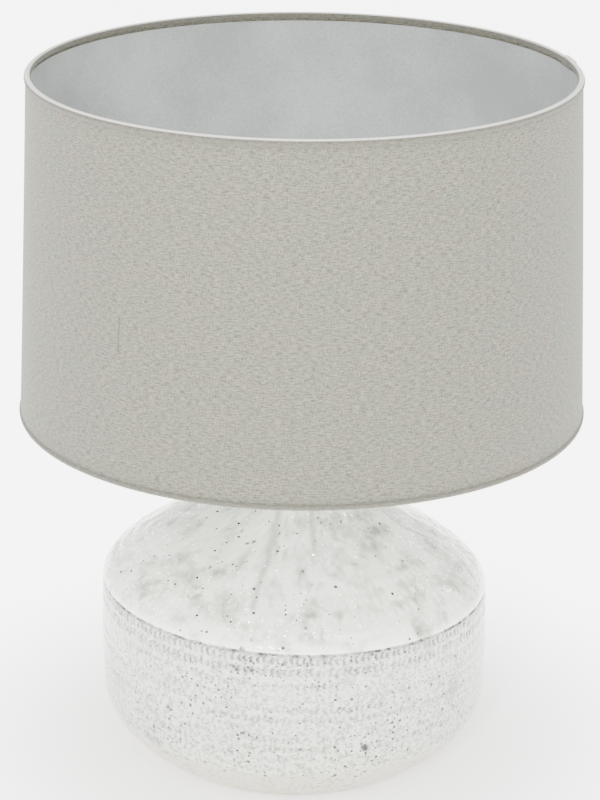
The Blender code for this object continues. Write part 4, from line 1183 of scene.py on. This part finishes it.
class LAMP_OT_lampholder(bpy.types.Operator):
    """Build the lampholder: cup, shell, insert, screw shell, spring and terminals"""

    bl_idname = "lamp.lampholder"
    bl_label = "Lampholder"

    def execute(self, context):
        boss_top = HOLDER_BOTTOM + 0.004
        side = HOLDER_BOTTOM + 0.021 * 0.62
        inside = GRIP_RADIUS - 0.0017
        floor = NIPPLE_TOP + 0.0017
        cup = bezier([(HOLDER_BOSS_RADIUS, boss_top), (GRIP_RADIUS * 0.8, boss_top),
                      (GRIP_RADIUS, boss_top + 0.0017), (GRIP_RADIUS, side)], 16)
        outline = np.concatenate([
            [(HOLE_RADIUS, HOLDER_BOTTOM), (HOLDER_BOSS_RADIUS, HOLDER_BOTTOM)], cup,
            [(GRIP_RADIUS, HOLDER_BASE_TOP), (inside, HOLDER_BASE_TOP), (inside, side),
             (inside * 0.8, floor), (HOLE_RADIUS, floor)]])
        made = piece("holder_cup", turned(eased(outline), 144), moulded_plastic, "lamp_base",
                     "holder_base")
        bore = turned([(0.0, -0.05), (BAR_BORE, -0.05), (BAR_BORE, 0.05), (0.0, 0.05)], 48)
        drill(made, "bar_drill", across_holder(bore))

        grip_top = SHELL_BOTTOM + 0.009
        band = np.linspace(SHELL_BOTTOM + 0.0004, grip_top - 0.0002, 12)
        rise = np.linspace(grip_top + 0.0013, SHELL_TOP - 0.0006, 120)
        outline = np.concatenate([
            [(SKIRT_BORE, SHELL_BOTTOM), (GRIP_RADIUS - 0.0004, SHELL_BOTTOM)],
            np.column_stack([np.full(len(band), GRIP_RADIUS), band]),
            [(SKIRT_RADIUS + 0.0001, grip_top + 0.0011)],
            np.column_stack([np.full(len(rise), SKIRT_RADIUS), rise]),
            [(SKIRT_RADIUS - 0.0005, SHELL_TOP), (SKIRT_BORE, SHELL_TOP)]])
        grip = ribbed(band[0], band[-1], 60, 0.0005)
        screw = thread(0.0025, 0.0005, grip_top + 0.0015, SHELL_TOP - 0.0004)

        def relief(radius, height, angle):
            on_grip = grip(radius, height, angle) * (radius > SKIRT_RADIUS + 0.0008)
            on_skirt = screw(radius, height, angle) * (np.abs(radius - SKIRT_RADIUS) < 0.0001)
            return on_grip + on_skirt

        piece("holder_skirt", turned(outline, 360, relief), moulded_plastic, "lamp_base",
              "holder_shell", 35.0)

        top = SHELL_TOP - 0.001
        cup = eased([(0.0, SHELL_BOTTOM + GAP), (INSERT_RADIUS, SHELL_BOTTOM + GAP),
                     (INSERT_RADIUS, top), (INSERT_BORE, top), (INSERT_BORE, INSERT_FLOOR_TOP),
                     (0.0, INSERT_FLOOR_TOP)], 0.0005)
        piece("porcelain_insert", turned(cup, 96), technical_porcelain, "lamp_base",
              "holder_insert")

        low, high = INSERT_FLOOR_TOP + 0.0015, top - 0.002
        shell = turned(fine_tube(SCREW_SHELL_RADIUS - 0.0008, SCREW_SHELL_RADIUS, low, high,
                                 0.0004), 120, thread(THREAD_PITCH, 0.0005, low, high))
        size = (0.006, 0.005, 0.0045)
        middle = SHELL_BOTTOM - GAP - size[2] / 2
        live, neutral = (block((0.0, y, middle), size, 0.0004) for y in (-0.0105, 0.0105))
        for name, node, surface in (("brass_screw_shell", "screw_shell", shell),
                                    ("contact_leaf", "contact_spring", spring_leaf()),
                                    ("live_terminal_block", "live_terminal", live),
                                    ("neutral_terminal_block", "neutral_terminal", neutral)):
            piece(name, surface, drawn_brass, "lamp_base", node)
        return {"FINISHED"}


def across_holder(surface, shift=0.0):
    """The surface with its axis laid along +X through the switch bar's bore."""
    x, y, z = np.moveaxis(surface.points, -1, 0)
    return surface._replace(points=np.stack([z + shift, y, BAR_Z - x], axis=-1))


def spring_leaf():
    """The contact leaf: a strip 5 mm wide carried along z = rise step(x), with round edges."""
    foot = SCREW_SHELL_RADIUS * 0.55
    x = np.linspace(-foot, foot * 0.45, 40)
    z = INSERT_FLOOR_TOP + GAP + 0.0026 * smooth_step((x + foot) / (foot * 1.3))
    turn = turns(16)
    wide = np.sign(np.cos(turn)) * 0.0025 * np.abs(np.cos(turn)) ** 0.35
    thick = 0.00025 + np.sign(np.sin(turn)) * 0.00025 * np.abs(np.sin(turn)) ** 0.6
    points = np.stack(np.broadcast_arrays(x[:, None], wide[None], z[:, None] + thick[None]),
                      axis=-1)
    ends = [np.repeat(points[end].mean(axis=0)[None, None], 16, axis=1) for end in (0, -1)]
    return Surface(np.concatenate([ends[0], points, ends[1]]))


class LAMP_OT_switch_bar(bpy.types.Operator):
    """Build the push bar with its two knobs"""

    bl_idname = "lamp.switch_bar"
    bl_label = "Switch bar"

    def execute(self, context):
        half = GRIP_RADIUS + 0.0115
        knob = half - 0.004
        outline = eased([(0.0, -half), (KNOB_RADIUS, -half), (KNOB_RADIUS, -knob),
                         (BAR_RADIUS, -knob), (BAR_RADIUS, knob), (KNOB_RADIUS, knob),
                         (KNOB_RADIUS, half), (0.0, half)], 0.0008, 5)
        piece("push_bar", across_holder(turned(outline, 64), BAR_X), moulded_plastic, "switch",
              "switch_bar")
        return {"FINISHED"}


class LAMP_OT_shade_rings(bpy.types.Operator):
    """Build the two screwed rings that hold the shade"""

    bl_idname = "lamp.shade_rings"
    bl_label = "Shade rings"

    def execute(self, context):
        knurl = only_outside(RING_FLANGE_RADIUS - 0.0006, lambda r, z, a: (
            -0.0005 * (1 + np.cos(48 * a)) / 2))
        for name, node, body, seat, away in (
                ("shade_ring_lower", "lower_shade_ring", "shade_seat", LOWER_RING_TOP, -1),
                ("shade_ring_upper", "upper_shade_ring", "shade_clamp", UPPER_RING_BOTTOM, 1)):
            flange = seat + away * 0.002
            end = flange + away * 0.0045
            outline = [(RING_BORE, seat), (RING_FLANGE_RADIUS, seat), (RING_FLANGE_RADIUS, flange),
                       (RING_COLLAR_RADIUS, flange), (RING_COLLAR_RADIUS, end), (RING_BORE, end)]
            ring = turned(eased(outline[::away], 0.0004, 4), 384, knurl)
            piece(name, ring, moulded_plastic, body, node, 35.0)
        return {"FINISHED"}


# ---------------------------------------------------------------- bulb

class LAMP_OT_bulb(bpy.types.Operator):
    """Build the screw-in bulb: contact, insulator, cap, housing, light board and globe"""

    bl_idname = "lamp.bulb"
    bl_label = "Bulb"

    def execute(self, context):
        contact = eased([(0.0, 0.2720), (0.0045, 0.2720), (0.0045, 0.2733), (0.0, 0.2733)], 0.0006)
        piece("centre_contact", turned(contact, 48), drawn_brass, "bulb", "bulb_contact")
        cone = eased([(0.0, 0.2736), (0.0045, 0.2736), (0.0118, 0.2773), (0.0, 0.2773)], 0.0003)
        piece("glass_insulator", turned(cone, 64), black_glass, "bulb", "bulb_insulator")
        rise = np.linspace(BULB_CAP_BOTTOM, HOUSING_BOTTOM - GAP, 60)
        outline = np.concatenate([[(0.0, BULB_CAP_BOTTOM), (0.0124, BULB_CAP_BOTTOM)],
                                  np.column_stack([np.full(59, BULB_CAP_RADIUS), rise[1:]]),
                                  [(0.0, rise[-1])]])
        cap = turned(outline, 120, only_outside(
            0.0126, thread(THREAD_PITCH, 0.0007, BULB_CAP_BOTTOM, rise[-1])))
        piece("screw_cap", cap, brushed_nickel, "bulb", "bulb_cap")

        neck, mouth = BULB_CAP_RADIUS + 0.0005, GLOBE_RADIUS * math.cos(GLOBE_CUT)
        tall = HOUSING_TOP - HOUSING_BOTTOM
        curve = bezier([(neck, HOUSING_BOTTOM), (neck, HOUSING_BOTTOM + tall * 0.35),
                        (mouth, HOUSING_BOTTOM + tall * 0.6), (mouth, HOUSING_TOP)], 40)
        seat = mouth - 0.0012
        outline = np.concatenate([[(0.0, HOUSING_BOTTOM)], curve, [
            (seat, HOUSING_TOP), (seat, HOUSING_TOP - 0.003), (0.0, HOUSING_TOP - 0.003)]])
        piece("heat_housing", turned(eased(outline, 0.0003), 120), moulded_plastic, "bulb",
              "bulb_housing")
        low = HOUSING_TOP - 0.003 + GAP
        board = eased([(0.0, low), (seat - GAP, low), (seat - GAP, low + 0.0015),
                       (0.0, low + 0.0015)], 0.0002)
        piece("light_board", turned(board, 96), white_board, "bulb", "bulb_led_board")
        centre = HOUSING_TOP + GAP + GLOBE_RISE * math.sin(GLOBE_CUT)
        rise = np.linspace(-GLOBE_CUT, math.pi / 2, 48)
        outer, inner = (np.column_stack([(GLOBE_RADIUS - wall_in) * np.cos(rise),
                                         centre + (GLOBE_RISE - wall_in) * np.sin(rise)])
                        for wall_in in (0.0, GLOBE_WALL))
        outer[-1, 0] = inner[-1, 0] = 0.0
        inner[0, 1] = outer[0, 1]
        globe = turned(np.concatenate([inner[::-1], outer]), 120)
        piece("opal_globe", globe, opal_polycarbonate, "bulb", "bulb_globe")
        return {"FINISHED"}


# ---------------------------------------------------------------- shade

def rolled_edge(centre, wrap, up, steps):
    """The cloth round one wire: an outer arc from the panel over the wire, and back inside it."""
    panel_out = BEAD_RADIUS - BEAD_PROUD
    hollow = WIRE_RADIUS + GAP
    start = -math.degrees(math.acos(panel_out / BEAD_RADIUS))
    end = -math.degrees(math.acos((panel_out - PANEL_THICKNESS) / hollow))
    outer = arc((0.0, 0.0), BEAD_RADIUS, start, wrap, steps)
    inner = arc((0.0, 0.0), hollow, wrap, end, steps - 2)
    edge = np.concatenate([outer, inner])
    return np.column_stack([centre[0] + edge[:, 0], centre[1] + up * edge[:, 1]])


def shade_cloth():
    """The cloth as one closed strip, its section carried round the axis past its own start.

    The section is the panel with a bead at each edge. Over the lap the strip's end rises by
    the cloth's thickness, so that it lies on its own start.
    """
    sizes = bpy.context.scene.lamp_sizes
    steps = 16
    top_centre = (SHADE_TOP_RADIUS - BEAD_RADIUS, SHADE_TOP_Z)
    bottom_centre = (SHADE_BOTTOM_RADIUS - BEAD_RADIUS, SHADE_BOTTOM_Z)
    top = rolled_edge(top_centre, TOP_WRAP, 1, steps)
    bottom = rolled_edge(bottom_centre, BOTTOM_WRAP, -1, steps)[::-1]
    rise = np.concatenate([[0.004, 0.012], np.linspace(0, 1, 24)[1:-1], [0.988, 0.996]])[:, None]
    outside = bottom[-1] * (1 - rise) + top[0] * rise
    inside = top[-1] * (1 - rise) + bottom[0] * rise
    section = np.concatenate([top, inside, bottom, outside])
    # Tones: the top bead gets a painted highlight from 45 degrees up to 125 degrees, on its crown;
    # the rest of both beads and the first 3 mm of the panel beside them get painted shade
    turned_by = np.degrees(np.arctan2(top[:, 1] - SHADE_TOP_Z, top[:, 0] - top_centre[0]))
    lit = smooth_step((turned_by - 38) / 14) * smooth_step((134 - turned_by) / 18)
    beside = np.zeros(len(outside))
    beside[[0, 1, -2, -1]] = 0.5, 0.2, 0.2, 0.8
    # Painted highlight on the top bead's crown
    rolled = np.concatenate([lit, np.zeros(len(inside) + len(bottom) + len(outside))])
    # Painted shade on both beads and on the panel beside them
    dusty = np.concatenate([1 - lit, np.zeros(len(inside)), np.ones(len(bottom)), beside])

    lap = sizes.lap / SHADE_BOTTOM_RADIUS
    columns = 800
    turn = np.linspace(0, math.tau + lap, columns)
    angle = (SEAM_ANGLE - lap / 2 + turn)[None, :]
    over = smooth_step((turn - math.tau + 0.03) / 0.03)[None, :] * (PANEL_THICKNESS + 0.0001)
    height = section[:, 1:]
    # Each bead swells away from its wire over the lap, and the panel straight outwards
    middle = np.where(height > 0.45, SHADE_TOP_Z, np.where(height < 0.30, SHADE_BOTTOM_Z, height))
    share = (middle - SHADE_BOTTOM_Z) / (SHADE_TOP_Z - SHADE_BOTTOM_Z)
    centre = bottom_centre[0] + (SHADE_TOP_RADIUS - SHADE_BOTTOM_RADIUS) * share
    push = section - np.hstack([centre, middle])
    push = push / (np.linalg.norm(push, axis=1, keepdims=True) + TINY)
    push = np.where(np.abs(height - middle) < TINY, np.array([[1.0, 0.0]]), push)

    # The panel is not quite round: soft waves 160 mm long and 0.35 mm deep
    up = (height - SHADE_BOTTOM_Z) / (SHADE_TOP_Z - SHADE_BOTTOM_Z)
    wave = swell(turn[None, :] / math.tau * 8 % 8, up * 2, 8, 41)
    radius = section[:, :1] + push[:, :1] * over
    radius = radius + 0.00035 * np.clip(4 * up * (1 - up), 0, 1) * wave
    points = round_axis(radius, angle, height + push[:, 1:] * over)
    run = lengths_along(np.concatenate([section, section[:1]]))
    uv = np.stack(np.meshgrid(turn * MEAN_RADIUS, run), axis=-1)
    marks = {"rolled": np.repeat(rolled[:, None], columns, axis=1),
             "dusty": np.repeat(dusty[:, None], columns, axis=1)}
    return Surface(points, across=False, along=True, uv=uv, marks=marks, capped=True)


class LAMP_OT_shade_cloth(bpy.types.Operator):
    """Build the linen cover with its rolled edges and lap seam"""

    bl_idname = "lamp.shade_cloth"
    bl_label = "Linen cover"

    def execute(self, context):
        made = piece("linen_cover", shade_cloth(), natural_linen, "shade", "shade_cover",
                     50.0)
        return {"FINISHED"}


class LAMP_OT_shade_lining(bpy.types.Operator):
    """Build the smooth lining film with its own lapped edge"""

    bl_idname = "lamp.shade_lining"
    bl_label = "Lining film"

    def execute(self, context):
        low, high = SHADE_BOTTOM_Z + 0.0055, SHADE_TOP_Z - 0.0042
        depth = BEAD_PROUD + PANEL_THICKNESS + GAP
        slope = (SHADE_TOP_RADIUS - SHADE_BOTTOM_RADIUS) / (SHADE_TOP_Z - SHADE_BOTTOM_Z)
        rise = np.linspace(low, high, 26)
        outer = SHADE_BOTTOM_RADIUS + slope * (rise - SHADE_BOTTOM_Z) - depth
        section = np.concatenate([np.column_stack([outer, rise]),
                                  np.column_stack([outer - 0.0006, rise])[::-1]])
        lap = 0.020 / 0.19
        columns = 720
        turn = np.linspace(0, math.tau + lap, columns)
        angle = (SEAM_ANGLE - 0.02 + turn)[None, :]
        under = smooth_step((turn - math.tau + 0.02) / 0.02)[None, :] * 0.0008
        points = round_axis(section[:, :1] - under, angle, section[:, 1:])
        film = Surface(points, across=False, along=True, capped=True)
        piece("lining", film, lining_film, "shade", "shade_liner", 50.0)
        return {"FINISHED"}


class LAMP_OT_shade_wires(bpy.types.Operator):
    """Build the wire frame: two rims, the ring on the lampholder and three spokes"""

    bl_idname = "lamp.shade_wires"
    bl_label = "Wire frame"

    def execute(self, context):
        for name, node, radius, height in (
                ("rim_wire_top", "top_wire_ring", SHADE_TOP_RADIUS - BEAD_RADIUS, SHADE_TOP_Z),
                ("rim_wire_bottom", "bottom_wire_ring", SHADE_BOTTOM_RADIUS - BEAD_RADIUS,
                 SHADE_BOTTOM_Z)):
            ring = turned(arc((radius, height), WIRE_RADIUS, 0, 360, 14)[:-1], 480)
            piece(name, ring, enamelled_wire, "shade", node)
        outline = eased(tube_outline(0.0210, FITTER_RADIUS, FITTER_Z - 0.001, FITTER_Z + 0.001),
                        0.0005, 4)
        piece("holder_ring", turned(outline, 144), enamelled_wire, "shade", "fitter_ring")
        lift = math.radians(125)
        way = np.array([math.cos(lift), math.sin(lift)])
        wire = np.array([SHADE_BOTTOM_RADIUS - BEAD_RADIUS, SHADE_BOTTOM_Z])
        start = wire + way * (WIRE_RADIUS + GAP)
        bend = wire + way * 0.0062
        end = np.array([FITTER_RADIUS + GAP, FITTER_Z])
        after = bend + (end - bend) / np.linalg.norm(end - bend) * 0.0062
        before = bend - way * 0.0031
        t = np.linspace(0, 1, 14)[:, None]
        curve = before * (1 - t) ** 2 + 2 * bend * t * (1 - t) + after * t * t
        line = np.concatenate([[start], curve, [end * 0.5 + after * 0.5, end]])
        for number in range(3):
            turn = math.radians(90 + 120 * number)
            out = np.array([math.cos(turn), math.sin(turn), 0.0])
            path = line[:, :1] * out + line[:, 1:] * np.array([0.0, 0.0, 1.0])
            rod = swept(path, WIRE_RADIUS, 14, side=(-math.sin(turn), math.cos(turn), 0.0))
            piece(f"spoke_rod_{number + 1}", rod, enamelled_wire, "shade", f"spoke_{number + 1}")
        return {"FINISHED"}


# ---------------------------------------------------------------- stage

def softbox(name, place, target, size, power):
    """A white soft light at a place, turned to face its target."""
    light = bpy.data.lights.new(name, "AREA")
    light.shape = "RECTANGLE"
    light.size, light.size_y = size
    light.energy = power
    made = bpy.data.objects.new(name, light)
    bpy.context.scene.collection.objects.link(made)
    made.location = place
    made.rotation_euler = (Vector(target) - Vector(place)).to_track_quat("-Z", "Y").to_euler()


class LAMP_OT_stage(bpy.types.Operator):
    """Set up the pale floor, the soft lights and the camera"""

    bl_idname = "lamp.stage"
    bl_label = "Stage"

    def execute(self, context):
        scene = context.scene
        reach = np.linspace(-FLOOR_REACH, FLOOR_REACH, 5)
        x, y = np.meshgrid(reach, reach)
        grid = Surface(np.stack([x, y, 0 * x], axis=-1), across=False)
        floor = bpy.data.objects.new("floor", mesh_of("floor", grid, stage_floor()))
        scene.collection.objects.link(floor)

        softbox("overhead_softbox", (0.0, -0.3, 2.6), (0.0, 0.0, 0.2), (2.6, 2.2), 30.0)
        softbox("front_softbox", (-0.10, -1.9, 1.60), (0.0, 0.0, 0.2), (1.3, 0.7), 18.0)
        softbox("key_lamp", (-0.34, -2.0, 1.06), (0.0, 0.0, 0.17), (0.30, 0.30), 40.0)
        world = bpy.data.worlds.new("studio")
        scene.world = world
        world.use_nodes = True
        sky = world.node_tree.nodes["Background"]
        sky.inputs["Color"].default_value = (1.0, 1.0, 1.0, 1.0)
        sky.inputs["Strength"].default_value = 2.0

        camera = bpy.data.cameras.new("camera")
        camera.lens = 122.4
        camera.sensor_width = 36.0
        camera.sensor_fit = "AUTO"
        eye = bpy.data.objects.new("camera", camera)
        scene.collection.objects.link(eye)
        pitch = Matrix.Rotation(math.pi / 2 - CAMERA_DOWN, 4, "X")
        roll = Matrix.Rotation(CAMERA_ROLL, 4, "Z")
        eye.matrix_world = Matrix.Translation(CAMERA_PLACE) @ pitch @ roll
        scene.camera = eye
        return {"FINISHED"}


class LAMP_PT_pieces(bpy.types.Panel):
    """Lists the lamp's pieces in the 3D view's sidebar."""

    bl_idname = "LAMP_PT_pieces"
    bl_label = "Table lamp"
    bl_space_type = "VIEW_3D"
    bl_region_type = "UI"
    bl_category = "Lamp"

    def draw(self, context):
        layout = self.layout
        for group in (context.scene.lamp_sizes, context.scene.lamp_colours):
            box = layout.box()
            for key in group.__annotations__:
                box.prop(group, key)
        for operator in OPERATORS:
            layout.operator(operator.bl_idname)


OPERATORS = (LAMP_OT_stage, LAMP_OT_ceramic_body, LAMP_OT_foot_and_outlet, LAMP_OT_neck_fitting,
             LAMP_OT_lampholder, LAMP_OT_switch_bar, LAMP_OT_shade_rings, LAMP_OT_bulb,
             LAMP_OT_shade_wires, LAMP_OT_shade_lining, LAMP_OT_shade_cloth)
CLASSES = (LampSizes, LampColours, *OPERATORS, LAMP_PT_pieces)


def register():
    """Adds the settings, the operators and the panel to Blender."""
    for item in CLASSES:
        bpy.utils.register_class(item)
    bpy.types.Scene.lamp_sizes = bpy.props.PointerProperty(type=LampSizes)
    bpy.types.Scene.lamp_colours = bpy.props.PointerProperty(type=LampColours)


def unregister():
    """Takes them out again."""
    del bpy.types.Scene.lamp_colours
    del bpy.types.Scene.lamp_sizes
    for item in reversed(CLASSES):
        bpy.utils.unregister_class(item)


def main():
    """Builds the lamp on its stage and writes down both of its boxes."""
    register()
    for operator in OPERATORS:
        group, name = operator.bl_idname.split(".")
        getattr(getattr(bpy.ops, group), name)()


if __name__ == "__main__":
    main()
